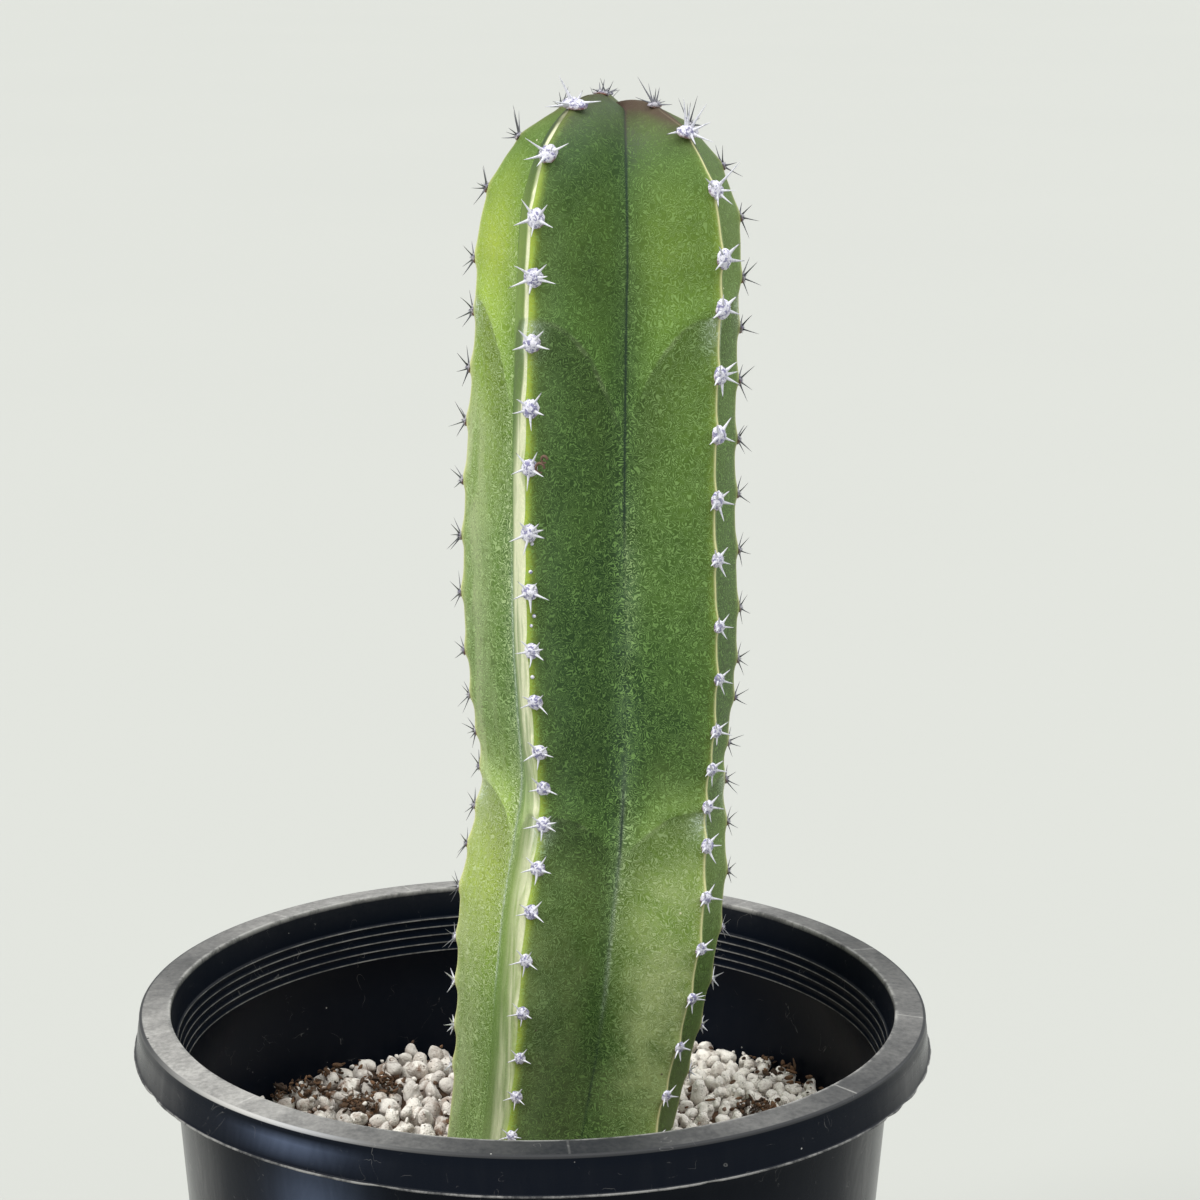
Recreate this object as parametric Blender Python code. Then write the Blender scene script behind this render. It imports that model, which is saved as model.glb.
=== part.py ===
"""Potted columnar cactus.

A stem with five ribs stands in a black nursery pot, which is filled with potting mix and top dressed with
pumice. Lengths are in metres, angles in degrees. The origin is the middle of the pot's foot and +Z is up. A
bearing round the stem is counted from -Y, the side that shows two ribs, towards +X.
"""
import math
import random

import bmesh
import bpy
from mathutils import Matrix, Vector

# Pot
POT_HEIGHT = 0.200
POT_SEGMENTS = 56
RIM_RADIUS = 0.1250
LIP_WIDTH = 0.0098
LIP_RISE = 0.0009
LIP_THICKNESS = 0.0020
EDGE_ROUNDING = 0.0008
SKIRT_DEPTH = 0.0122
SKIRT_FLARE = 0.0012
SKIRT_THICKNESS = 0.0018
COLLAR_DEPTH = 0.0206
COLLAR_TAPER = 0.0037
COLLAR_STEP_DEPTH = 0.0092
COLLAR_STEP = 0.0006
WALL_THICKNESS = 0.0023
WALL_TAPER = 0.077
FLOOR_THICKNESS = 0.0025
FOOT_HEIGHT = 0.003
FOOT_WIDTH = 0.0055
FOOT_SLOPE = 0.0016
DRAIN_HOLES = 6
DRAIN_HOLE_RADIUS = 0.007
DRAIN_HOLE_CIRCLE = 0.062
DRAIN_HOLE_SIDES = 16

# Filling, its levels below the rim at the pot's axis
GAP = 0.0003
FILL_SLOPE = 0.0375
SOIL_DEPTH = 0.0640
CREVICE_DEPTH = 0.0570
GRAIN_HEIGHT = 0.0062
GRAIN_PITCH = 0.0134
GRAIN_JITTER = 0.19
GRAIN_SHOULDER_REACH = (0.56, 0.74)
GRAIN_SHOULDER_HEIGHT = (0.62, 0.92)
GRAIN_SEED = 11

# Stem
RIB_BEARINGS = (-103.0, -31.0, 46.5, 113.0, 185.0)
# height above the rim, reach of each rib beside that of the whole stem
RIB_REACHES = (
    (-0.020, 1.000, 0.985, 0.950, 1.045, 1.000),
    (0.070, 0.995, 1.000, 1.005, 1.000, 1.000),
    (0.150, 0.985, 1.020, 1.005, 1.000, 1.000),
    (0.220, 0.915, 1.030, 1.010, 0.995, 1.000),
)
RIB_DOME_RISE = (0.048, 0.051, 0.049, 0.048, 0.049)
RIB_DOME_SQUARENESS = (2.0, 2.4, 2.4, 2.0, 2.2)
GROOVE_BEARINGS = (-70.0, 12.0, 80.0, 149.0, 221.0)
GROOVE_REACH = 0.61
GROOVE_DOME_RISE = 0.0465
GROOVE_DOME_SQUARENESS = 2.5
FLANK_STEPS = (0.14, 0.55)
FLANK_BULGE = 0.055
APEX_DIMPLE_REACH = 0.3
# height above the rim, middle of the stem along X, reach of the rib crests
STEM_STATIONS = (
    (-0.060, 0.0075, 0.0375),
    (-0.030, 0.0123, 0.0390),
    (-0.007, 0.0157, 0.0413),
    (0.015, 0.0182, 0.0436),
    (0.036, 0.0201, 0.0443),
    (0.056, 0.0219, 0.0423),
    (0.075, 0.0230, 0.0405),
    (0.098, 0.0229, 0.0435),
    (0.124, 0.0221, 0.0454),
    (0.160, 0.0212, 0.0450),
    (0.200, 0.0214, 0.0447),
    (0.238, 0.0222, 0.0446),
)
STEM_BASE = -0.095
STEM_BASE_ROUNDING = 0.030
STEM_BASE_FLAT = 0.35
STEM_BASE_RINGS = (0.0, 0.12, 0.4)
STEM_RING_PITCH = 0.0124
DOME_RINGS = 9
DOME_RING_PITCH = 1 / 9.35
SOCKET_CLEARANCE = 0.0005

# Areoles and spines
AREOLE_LOWEST = -0.038
# height above the rim, distance to the next areole along the crest
AREOLE_SPACINGS = (
    (-0.060, 0.0125),
    (-0.018, 0.0145),
    (0.010, 0.0165),
    (0.030, 0.0171),
    (0.048, 0.0160),
    (0.061, 0.0142),
    (0.073, 0.0117),
    (0.084, 0.0124),
    (0.100, 0.0142),
    (0.130, 0.0172),
    (0.150, 0.0186),
    (0.238, 0.0192),
)
AREOLE_FIRST = (0.016, 0.006, 0.019, 0.012, 0.010)
AREOLE_APEX_SPACING = 0.0158
CREST_STEP = 0.002
PAD_RADIUS = 0.0024
PAD_LIFT = 0.0003
PAD_HEIGHT = 0.0016
PAD_ROOT = 0.0045
SPINES = 5
SPINE_LENGTH = 0.0056
SPINE_LENGTH_APEX = 0.0085
SPINE_REACH = 0.42
SPINE_THICKNESS = 0.0014
SPINE_RISE = 32.0
SPINE_SEED = 5


def height_curve(stations, height):
    """Smooth values between rows of (height, value, ...), held level past both ends."""
    if height <= stations[0][0]:
        return list(stations[0][1:])
    if height >= stations[-1][0]:
        return list(stations[-1][1:])
    last = len(stations) - 1
    row = max(i for i in range(last) if stations[i][0] <= height)
    low, high = stations[row], stations[row + 1]
    before, after = stations[max(row - 1, 0)], stations[min(row + 2, last)]
    span = high[0] - low[0]
    t = (height - low[0]) / span
    values = []
    for k in range(1, len(low)):
        slope_low = (high[k] - before[k]) / (high[0] - before[0]) * span
        slope_high = (after[k] - low[k]) / (after[0] - low[0]) * span
        values.append(
            low[k] * (2 * t**3 - 3 * t**2 + 1)
            + slope_low * (t**3 - 2 * t**2 + t)
            + high[k] * (3 * t**2 - 2 * t**3)
            + slope_high * (t**3 - t**2)
        )
    return values


def principled(name, colour, roughness, metallic=0.0):
    """A plain finish."""
    material = bpy.data.materials.new(name)
    material.use_nodes = True
    shader = material.node_tree.nodes["Principled BSDF"]
    shader.inputs["Base Color"].default_value = (*colour, 1.0)
    shader.inputs["Roughness"].default_value = roughness
    shader.inputs["Metallic"].default_value = metallic
    return material


def add_object(name, points, faces):
    """An object from points and faces, with each four-sided face split in two triangles."""
    body = bmesh.new()
    corners = [body.verts.new(point) for point in points]
    for face in faces:
        body.faces.new([corners[index] for index in face])
    bmesh.ops.recalc_face_normals(body, faces=body.faces)
    return object_from(body, name)


def object_from(body, name):
    """An object from an edited mesh, with each four-sided face split in two triangles."""
    bmesh.ops.triangulate(body, faces=[face for face in body.faces if len(face.verts) == 4])
    mesh = bpy.data.meshes.new(name)
    body.to_mesh(mesh)
    body.free()
    thing = bpy.data.objects.new(name, mesh)
    bpy.context.scene.collection.objects.link(thing)
    return thing


def ring_faces(rings, sides):
    """Faces of a skin over rings of the same number of sides, closed at both ends."""
    faces = [tuple(reversed(range(sides)))]
    for ring in range(rings - 1):
        for side in range(sides):
            a = ring * sides + side
            b = ring * sides + (side + 1) % sides
            faces.append((a, b, b + sides, a + sides))
    faces.append(tuple(range((rings - 1) * sides, rings * sides)))
    return faces


def turned(name, outline):
    """A body turned round +Z from an outline of (radius, height), which starts and ends as a flat disc."""
    points = []
    for radius, height in outline:
        for segment in range(POT_SEGMENTS):
            angle = 2 * math.pi * segment / POT_SEGMENTS
            points.append(Vector((radius * math.cos(angle), radius * math.sin(angle), height)))
    return add_object(name, points, ring_faces(len(outline), POT_SEGMENTS))


def apply_boolean(thing, operation, operands):
    """Cut or join a body with a list of others, which are used up."""
    group = bpy.data.collections.new(thing.name + "_operands")
    bpy.context.scene.collection.children.link(group)
    for operand in operands:
        for holder in list(operand.users_collection):
            holder.objects.unlink(operand)
        group.objects.link(operand)
    modifier = thing.modifiers.new(operation.lower(), "BOOLEAN")
    modifier.operation = operation
    modifier.solver = "EXACT"
    modifier.operand_type = "COLLECTION"
    modifier.collection = group
    bpy.context.view_layer.update()
    graph = bpy.context.evaluated_depsgraph_get()
    result = bpy.data.meshes.new_from_object(thing.evaluated_get(graph))
    result.name = thing.name
    thing.modifiers.remove(modifier)
    thing.data = result
    for operand in list(group.objects):
        bpy.data.objects.remove(operand)
    bpy.data.collections.remove(group)


def finish(thing, material, smooth_angle=None):
    """Give a body its finish, and smooth shading below an angle."""
    thing.data.materials.clear()
    thing.data.materials.append(material)
    if smooth_angle is not None:
        thing.data.shade_smooth()
        thing.data.set_sharp_from_angle(angle=math.radians(smooth_angle))


def inner_wall(height):
    """Radius of the pot's inside at a height above its foot, below the collar."""
    collar_foot = RIM_RADIUS - LIP_WIDTH - COLLAR_TAPER
    return collar_foot - (POT_HEIGHT - COLLAR_DEPTH - height) * WALL_TAPER


def make_pot():
    """The pot, with a hollow lip, a tapered wall, a foot ring and drain holes."""
    top = POT_HEIGHT
    mouth = RIM_RADIUS - LIP_WIDTH
    collar = top - COLLAR_DEPTH
    step = top - COLLAR_STEP_DEPTH
    step_radius = mouth - COLLAR_TAPER * COLLAR_STEP_DEPTH / COLLAR_DEPTH
    skirt = top - SKIRT_DEPTH
    skirt_radius = RIM_RADIUS + SKIRT_FLARE
    outer_foot = inner_wall(0.0) + WALL_THICKNESS
    floor = FOOT_HEIGHT + FLOOR_THICKNESS
    outline = [
        (outer_foot - FOOT_WIDTH - FOOT_SLOPE, FOOT_HEIGHT),
        (outer_foot - FOOT_WIDTH - EDGE_ROUNDING, 0.0),
        (outer_foot - EDGE_ROUNDING, 0.0),
        (outer_foot, EDGE_ROUNDING),
        (inner_wall(collar) + WALL_THICKNESS, collar),
        (step_radius + WALL_THICKNESS, step),
        (mouth + WALL_THICKNESS, top - LIP_THICKNESS),
        (RIM_RADIUS - SKIRT_THICKNESS, top - LIP_THICKNESS),
        (skirt_radius - SKIRT_THICKNESS, skirt),
        (skirt_radius, skirt),
        (RIM_RADIUS, top - EDGE_ROUNDING),
        (RIM_RADIUS - EDGE_ROUNDING, top),
        (mouth + EDGE_ROUNDING, top + LIP_RISE),
        (mouth, top + LIP_RISE - EDGE_ROUNDING),
        (step_radius, step),
        (step_radius - COLLAR_STEP, step - COLLAR_STEP),
        (inner_wall(collar), collar),
        (inner_wall(floor), floor),
    ]
    pot = turned("pot", outline)
    holes = []
    for hole in range(DRAIN_HOLES):
        angle = 2 * math.pi * (hole + 0.5) / DRAIN_HOLES
        middle = Vector((math.cos(angle), math.sin(angle), 0.0)) * DRAIN_HOLE_CIRCLE
        points = []
        for height in (FOOT_HEIGHT / 2, floor + FOOT_HEIGHT / 2):
            for side in range(DRAIN_HOLE_SIDES):
                turn = 2 * math.pi * side / DRAIN_HOLE_SIDES
                reach = Vector((math.cos(turn), math.sin(turn), 0.0)) * DRAIN_HOLE_RADIUS
                points.append(middle + reach + Vector((0.0, 0.0, height)))
        holes.append(add_object(f"hole_{hole}", points, ring_faces(2, DRAIN_HOLE_SIDES)))
    apply_boolean(pot, "DIFFERENCE", holes)
    finish(pot, principled("black_plastic", (0.020, 0.022, 0.027), 0.42), smooth_angle=30)
    return pot


def towards(bearing):
    """Unit vector at a bearing round the stem."""
    angle = math.radians(bearing)
    return Vector((math.sin(angle), -math.cos(angle), 0.0))


def dome_start():
    """Height above the rim at which the stem starts to round over."""
    return STEM_STATIONS[-1][0]


def stem_point(bearing, reach, level, rise, squareness, dimple):
    """A point of the stem's crest or groove lines.

    Up to dome_start() a level is a height above the rim. Past it one whole unit is a quarter turn of the dome.
    """
    middle, radius = height_curve(STEM_STATIONS, level)
    radius *= reach
    height = min(level, dome_start())
    if level < STEM_BASE + STEM_BASE_ROUNDING:
        drop = 1.0 - (level - STEM_BASE) / STEM_BASE_ROUNDING
        radius *= STEM_BASE_FLAT + (1.0 - STEM_BASE_FLAT) * math.sqrt(max(0.0, 1.0 - drop**2))
    turn = max(0.0, level - dome_start()) * math.pi / 2
    shrink = math.cos(turn) ** (2 / squareness)
    height += rise * math.sin(turn) ** (2 / squareness)
    height -= dimple * max(0.0, 1.0 - shrink / APEX_DIMPLE_REACH) ** 2
    return Vector((middle, 0.0, POT_HEIGHT + height)) + towards(bearing) * radius * shrink


def crest_point(rib, level):
    """A point on a rib's crest."""
    rise = RIB_DOME_RISE[rib]
    dimple = rise - GROOVE_DOME_RISE
    reach = height_curve(RIB_REACHES, level)[rib]
    return stem_point(RIB_BEARINGS[rib], reach, level, rise, RIB_DOME_SQUARENESS[rib], dimple)


def groove_point(groove, level):
    """A point at the bottom of the groove after the rib of that number."""
    bearing = GROOVE_BEARINGS[groove]
    return stem_point(bearing, GROOVE_REACH, level, GROOVE_DOME_RISE, GROOVE_DOME_SQUARENESS, 0.0)


def flank_points(crest, groove, level):
    """Points between a crest and a groove on a flank that swells out a little."""
    turn = max(0.0, level - dome_start()) * math.pi / 2
    along = groove - crest
    outward = Vector((along.y, -along.x, 0.0)).normalized()
    if outward.dot(crest + groove - 2 * Vector((height_curve(STEM_STATIONS, level)[0], 0.0, 0.0))) < 0:
        outward = -outward
    outward = outward * math.cos(turn) + Vector((0.0, 0.0, math.sin(turn)))
    swell = FLANK_BULGE * along.length
    return [crest + along * t + outward * swell * math.sin(math.pi * t) for t in FLANK_STEPS]


def stem_ring(level, clearance=0.0):
    """The stem's outline at a level, counted from the first rib's crest."""
    ring = []
    for rib in range(len(RIB_BEARINGS)):
        crest = crest_point(rib, level)
        groove = groove_point(rib, level)
        next_crest = crest_point((rib + 1) % len(RIB_BEARINGS), level)
        ring.append(crest)
        ring.extend(flank_points(crest, groove, level))
        ring.append(groove)
        ring.extend(reversed(flank_points(next_crest, groove, level)))
    middle = Vector((height_curve(STEM_STATIONS, level)[0], 0.0, 0.0))
    for point in ring:
        reach = Vector((point.x, point.y, 0.0)) - middle
        point += reach.normalized() * clearance
    return ring


def stem_skin(name, levels, clearance=0.0, apex=None):
    """A closed ribbed body over rings at some levels, with a point on top where an apex is given."""
    rings = [stem_ring(level, clearance) for level in levels]
    sides = len(rings[0])
    points = [point for ring in rings for point in ring]
    faces = ring_faces(len(rings), sides)
    if apex is not None:
        faces.pop()
        points.append(apex)
        start = (len(rings) - 1) * sides
        faces.extend((start + side, start + (side + 1) % sides, len(points) - 1) for side in range(sides))
    return add_object(name, points, faces)


def column_levels():
    """Levels of the rings from the stem's base to the foot of its dome."""
    rounding = [STEM_BASE + STEM_BASE_ROUNDING * part for part in STEM_BASE_RINGS]
    start = STEM_BASE + STEM_BASE_ROUNDING
    count = round((dome_start() - start) / STEM_RING_PITCH)
    return rounding + [start + (dome_start() - start) * ring / count for ring in range(count + 1)]


def areole_levels(rib):
    """Levels of a rib's areoles, stepped down the crest from near the apex."""
    levels = []
    level = dome_start() + 1.0
    travelled = 0.0
    wanted = AREOLE_FIRST[rib]
    here = crest_point(rib, level)
    while level > AREOLE_LOWEST:
        if level > dome_start():
            level = max(level - CREST_STEP / RIB_DOME_RISE[rib], dome_start())
        else:
            level -= CREST_STEP
        there = crest_point(rib, level)
        travelled += (there - here).length
        here = there
        if travelled >= wanted and level > AREOLE_LOWEST:
            travelled -= wanted
            wanted = height_curve(AREOLE_SPACINGS, level)[0] if levels else AREOLE_APEX_SPACING
            levels.append(level)
    return levels


def spined_areole(name, length, draws):
    """A felted pad with a whorl of three-sided spines, out along +Z, with a point below as its root."""
    half = math.asin(SPINE_THICKNESS / 2 / PAD_RADIUS)
    phase = draws.uniform(0.0, 2 * math.pi)
    points = [Vector((0.0, 0.0, -PAD_ROOT))]
    for spine in range(SPINES):
        angle = phase + 2 * math.pi * spine / SPINES
        rise = math.radians(SPINE_RISE + draws.uniform(-12.0, 12.0))
        reach = length * draws.uniform(0.85, 1.1)
        for turn in (-half, half):
            edge = Vector((math.cos(angle + turn), math.sin(angle + turn), 0.0)) * PAD_RADIUS
            points.append(edge + Vector((0.0, 0.0, PAD_LIFT)))
        out = Vector((math.cos(angle), math.sin(angle), 0.0))
        points.append(out * PAD_RADIUS * 0.62 + Vector((0.0, 0.0, PAD_LIFT + PAD_HEIGHT)))
        start = PAD_RADIUS * 0.8
        tip = start + reach * math.cos(rise)
        points.append(out * tip + Vector((0.0, 0.0, PAD_LIFT + PAD_HEIGHT / 2 + reach * math.sin(rise))))
    faces = [tuple(3 + 4 * spine for spine in range(SPINES))]
    for spine in range(SPINES):
        left, right, upper, tip = (1 + 4 * spine + k for k in range(4))
        next_left = 1 + 4 * ((spine + 1) % SPINES)
        next_upper = next_left + 2
        faces.extend([(left, tip, right), (right, tip, upper), (upper, tip, left)])
        faces.extend([(right, next_left, upper), (upper, next_left, next_upper)])
        faces.extend([(left, right, 0), (right, next_left, 0)])
    return add_object(name, points, faces)


def make_stem():
    """The stem with its spined areoles, grown as one body."""
    levels = column_levels() + [dome_start() + DOME_RING_PITCH * (ring + 1) for ring in range(DOME_RINGS)]
    stem = stem_skin("stem", levels, apex=groove_point(0, dome_start() + 1.0))
    draws = random.Random(SPINE_SEED)
    areoles = []
    for rib, bearing in enumerate(RIB_BEARINGS):
        for count, level in enumerate(areole_levels(rib)):
            spacing = height_curve(AREOLE_SPACINGS, level)[0]
            short = min(SPINE_LENGTH, SPINE_REACH * spacing)
            length = short if level < dome_start() else SPINE_LENGTH_APEX
            areole = spined_areole(f"areole_{rib}_{count}", length, draws)
            upward = crest_point(rib, level + CREST_STEP) - crest_point(rib, level - CREST_STEP)
            side = towards(bearing + 90.0)
            outward = side.cross(upward).normalized()
            frame = Matrix((side, outward.cross(side), outward)).transposed().to_4x4()
            areole.data.transform(Matrix.Translation(crest_point(rib, level)) @ frame)
            areoles.append(areole)
    apply_boolean(stem, "UNION", areoles)
    finish(stem, principled("green_skin", (0.105, 0.205, 0.060), 0.5), smooth_angle=24)
    return stem


def make_socket(name):
    """The space that the stem's foot takes up, a little larger than the stem."""
    levels = [level for level in column_levels() if level < 0.0]
    socket = stem_skin(name, levels, SOCKET_CLEARANCE)
    for vertex in socket.data.vertices:
        if vertex.co.z < POT_HEIGHT + STEM_BASE + GAP:
            vertex.co.z -= GAP
    return socket


def fill_top(x, depth):
    """Height of a sloping layer in the pot, for a depth below the rim at the axis."""
    return POT_HEIGHT - depth + FILL_SLOPE * x


def make_layer(name, bottom_depth, top_depth):
    """A layer that fills the pot between two depths below the rim, parallel to the slope of the filling."""
    outline = []
    for depth in (bottom_depth, top_depth):
        height = FOOT_HEIGHT + FLOOR_THICKNESS + GAP if depth is None else POT_HEIGHT - depth
        outline.append((inner_wall(height) - GAP, height))
    layer = turned(name, outline)
    sloped = [v for v in layer.data.vertices if bottom_depth is not None or v.co.z > POT_HEIGHT / 2]
    for vertex in sloped:
        grow = 1.0 + FILL_SLOPE * vertex.co.x * WALL_TAPER / RIM_RADIUS
        vertex.co.x *= grow
        vertex.co.y *= grow
        vertex.co.z += FILL_SLOPE * vertex.co.x
    return layer


def make_soil():
    """The potting mix, with a hole of the shape of the stem's foot."""
    soil = make_layer("soil", None, SOIL_DEPTH)
    apply_boolean(soil, "DIFFERENCE", [make_socket("socket")])
    finish(soil, principled("potting_mix", (0.045, 0.027, 0.016), 0.95))
    return soil


def cell_middle(cell, shifts):
    """Middle of a honeycomb cell seen from above."""
    column, row = cell
    shift = shifts.get(cell, (0.0, 0.0))
    x = (column + row / 2) * GRAIN_PITCH + shift[0]
    y = row * GRAIN_PITCH * math.sqrt(3) / 2 + shift[1]
    return Vector((x, y, 0.0))


def make_grains(name):
    """A slab with its top raised in rounded grains, one for each cell of an uneven honeycomb."""
    draws = random.Random(GRAIN_SEED)
    across = math.ceil(2 * RIM_RADIUS / GRAIN_PITCH)
    grid = [(column, row) for column in range(-across, across + 1) for row in range(-across, across + 1)]
    cells = [cell for cell in grid if cell_middle(cell, {}).length < RIM_RADIUS + GRAIN_PITCH / 2]
    jitter = GRAIN_JITTER * GRAIN_PITCH
    shifts = {cell: (draws.uniform(-jitter, jitter), draws.uniform(-jitter, jitter)) for cell in cells}
    steps = ((1, 0), (0, 1), (-1, 1), (-1, 0), (0, -1), (1, -1))
    body = bmesh.new()
    corners = {}
    for cell in cells:
        middle = cell_middle(cell, shifts)
        around = [(cell[0] + step[0], cell[1] + step[1]) for step in steps]
        rim = []
        for first, second in zip(around, around[1:] + around[:1]):
            key = frozenset((cell, first, second))
            if key not in corners:
                place = sum((cell_middle(other, shifts) for other in key), Vector()) / 3
                place.z = fill_top(place.x, CREVICE_DEPTH)
                corners[key] = body.verts.new(place)
            rim.append(corners[key])
        height = GRAIN_HEIGHT * draws.uniform(0.8, 1.15)
        top = body.verts.new(middle + Vector((0.0, 0.0, fill_top(middle.x, CREVICE_DEPTH) + height)))
        shoulder = []
        for corner in rim:
            place = middle.lerp(corner.co, draws.uniform(*GRAIN_SHOULDER_REACH))
            place.z = fill_top(place.x, CREVICE_DEPTH) + height * draws.uniform(*GRAIN_SHOULDER_HEIGHT)
            shoulder.append(body.verts.new(place))
        for k in range(len(rim)):
            after = (k + 1) % len(rim)
            body.faces.new((top, shoulder[k], shoulder[after]))
            body.faces.new((shoulder[k], rim[k], rim[after], shoulder[after]))
    lower = bmesh.ops.extrude_face_region(body, geom=body.faces[:])
    for vertex in (part for part in lower["geom"] if isinstance(part, bmesh.types.BMVert)):
        vertex.co.z = POT_HEIGHT - SOIL_DEPTH - GRAIN_PITCH
    bmesh.ops.recalc_face_normals(body, faces=body.faces)
    return object_from(body, name)


def make_pumice():
    """The pumice on top of the potting mix, its grains larger than life and joined in one bed."""
    pumice = make_grains("pumice")
    space = make_layer("space", SOIL_DEPTH - GAP, CREVICE_DEPTH - 2 * GRAIN_HEIGHT)
    apply_boolean(space, "DIFFERENCE", [make_socket("socket")])
    apply_boolean(pumice, "INTERSECT", [space])
    finish(pumice, principled("pumice", (0.52, 0.47, 0.41), 0.9))
    return pumice


def main():
    """Build the potted cactus in an empty scene."""
    for thing in list(bpy.data.objects):
        bpy.data.objects.remove(thing)
    make_pot()
    make_soil()
    make_pumice()
    make_stem()


main()
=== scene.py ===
"""Looks of the potted columnar cactus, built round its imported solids.

Lengths are in metres and bearings in degrees. A bearing is counted from -Y, the side that shows two ribs,
towards +X. A level on the stem is a height above the rim up to the foot of the dome. Past that, one whole
unit is a quarter turn of the dome.
"""

import logging
from dataclasses import dataclass, field
from enum import Enum
from math import atan2, cos, degrees, hypot, pi, radians, sin, sqrt
from random import Random
from typing import Callable, Iterable, Sequence, Union

import bmesh
import bpy
import numpy as np
from mathutils import Matrix, Vector, noise
from mathutils.geometry import tessellate_polygon


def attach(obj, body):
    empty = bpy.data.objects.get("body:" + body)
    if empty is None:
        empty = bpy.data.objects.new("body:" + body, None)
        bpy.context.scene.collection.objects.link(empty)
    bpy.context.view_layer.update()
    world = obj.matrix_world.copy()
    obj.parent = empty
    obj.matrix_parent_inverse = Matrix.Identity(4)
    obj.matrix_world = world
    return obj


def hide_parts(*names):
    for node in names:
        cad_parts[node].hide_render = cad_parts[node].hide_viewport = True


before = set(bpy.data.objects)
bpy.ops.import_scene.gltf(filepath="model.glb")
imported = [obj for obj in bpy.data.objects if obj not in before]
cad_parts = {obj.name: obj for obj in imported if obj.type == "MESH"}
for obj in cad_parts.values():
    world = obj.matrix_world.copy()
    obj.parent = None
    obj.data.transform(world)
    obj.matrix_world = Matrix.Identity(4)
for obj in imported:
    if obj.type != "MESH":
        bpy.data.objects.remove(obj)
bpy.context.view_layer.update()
LOG = logging.getLogger("potted_cactus")
MM = 0.001
TINY = 1e-6
Array = np.ndarray
Thing = bpy.types.Object
Material = bpy.types.Material
Colour = tuple[float, float, float]
Row = tuple[float, ...]
Rows = tuple[Row, ...]
Grain = tuple[float, float, float, float]
Value = Union["Wire", float, Colour]


class Slot(Enum):
    """Material slots of the record."""

    PLASTIC = "black_plastic"
    MIX = "potting_mix"
    PUMICE = "pumice"
    SKIN = "green_skin"


class Side(Enum):
    """The two flanks of a rib, by the way that their bearings run from its crest."""

    LEFT = -1
    RIGHT = 1


def towards(bearing: float) -> Vector:
    """Give the unit vector at a bearing."""
    return Vector((sin(radians(bearing)), -cos(radians(bearing)), 0.0))


def lift(height: float) -> Vector:
    """Give the way straight up by a height."""
    return Vector((0.0, 0.0, height))


def curve_at(rows: Rows, height: float) -> list[float]:
    """Read a smooth curve through rows, held level past both ends.

    Args:
        rows: A height and its values in each row, from the lowest up.
        height: Where to read the curve.

    Returns:
        The values at that height.
    """
    if height <= rows[0][0]:
        return list(rows[0][1:])
    if height >= rows[-1][0]:
        return list(rows[-1][1:])
    last = len(rows) - 1
    row = max(i for i in range(last) if rows[i][0] <= height)
    low, high = rows[row], rows[row + 1]
    before, after = rows[max(row - 1, 0)], rows[min(row + 2, last)]
    span = high[0] - low[0]
    t = (height - low[0]) / span
    values = []
    for k in range(1, len(low)):
        slope_low = (high[k] - before[k]) / (high[0] - before[0]) * span
        slope_high = (after[k] - low[k]) / (after[0] - low[0]) * span
        values.append(
            low[k] * (2 * t**3 - 3 * t**2 + 1)
            + slope_low * (t**3 - 2 * t**2 + t)
            + high[k] * (3 * t**2 - 2 * t**3)
            + slope_high * (t**3 - t**2)
        )
    return values


def column_at(rows: Rows, height: float, column: int = 0) -> float:
    """Read one value of a smooth curve through rows at a height, or 0 where the rows leave it out."""
    values = curve_at(rows, height)
    return values[column] if column < len(values) else 0.0


def apart(bearing: float, other: float) -> float:
    """Give the angle between two bearings."""
    return abs((bearing - other + 180.0) % 360.0 - 180.0)


def peak(distance: Array | float, width: float) -> Array | float:
    """Give a soft peak of height 1 and a half width."""
    return np.exp(-np.square(np.asarray(distance) / width))


def step_up(value: Array | float, low: float, high: float) -> Array | float:
    """Rise smoothly from 0 at a low value to 1 at a high one."""
    t = np.clip((np.asarray(value) - low) / (high - low), 0.0, 1.0)
    return t * t * (3.0 - 2.0 * t)


def lumps(point: Sequence[float], size: float, seed: float = 0.0) -> float:
    """Read smooth noise from -1 to 1 with lumps of a size."""
    return noise.noise(Vector(point) / size + Vector((seed, -seed, 0.5 * seed)))


def quads(rings: int, sides: int) -> list[Sequence[int]]:
    """Span rings that have the same number of points.

    Args:
        rings: Number of rings, one above the other.
        sides: Points in each ring, counted counterclockwise from above.

    Returns:
        Rows of four point numbers, facing outwards.
    """
    ring, side = np.meshgrid(np.arange(rings - 1), np.arange(sides), indexing="ij")
    a, b = ring * sides + side, ring * sides + (side + 1) % sides
    return np.stack((a, b, b + sides, a + sides), -1).reshape(-1, 4).tolist()


def tube(rings: int, sides: int, pointed: bool = False) -> list[Sequence[int]]:
    """Span rings and close both ends.

    Args:
        rings: Number of rings, one above the other.
        sides: Points in each ring.
        pointed: Whether one more point closes the top, in place of a flat face.

    Returns:
        The faces.
    """
    last, tip = (rings - 1) * sides, rings * sides
    faces = quads(rings, sides) + [range(sides)[::-1]]
    if pointed:
        return faces + [(last + side, last + (side + 1) % sides, tip) for side in range(sides)]
    return faces + [range(last, tip)]


def ball(divisions: int) -> tuple[Array, list[tuple[int, ...]]]:
    """Give the directions and the faces of an evenly divided ball.

    Args:
        divisions: How often the faces are divided, from 1.

    Returns:
        Unit vectors in rows, and triangles.
    """
    body = bmesh.new()
    bmesh.ops.create_icosphere(body, subdivisions=divisions, radius=1.0)
    directions = np.array([vertex.co.normalized()[:] for vertex in body.verts])
    faces = [tuple(vertex.index for vertex in face.verts) for face in body.faces]
    body.free()
    return directions, faces


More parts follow.
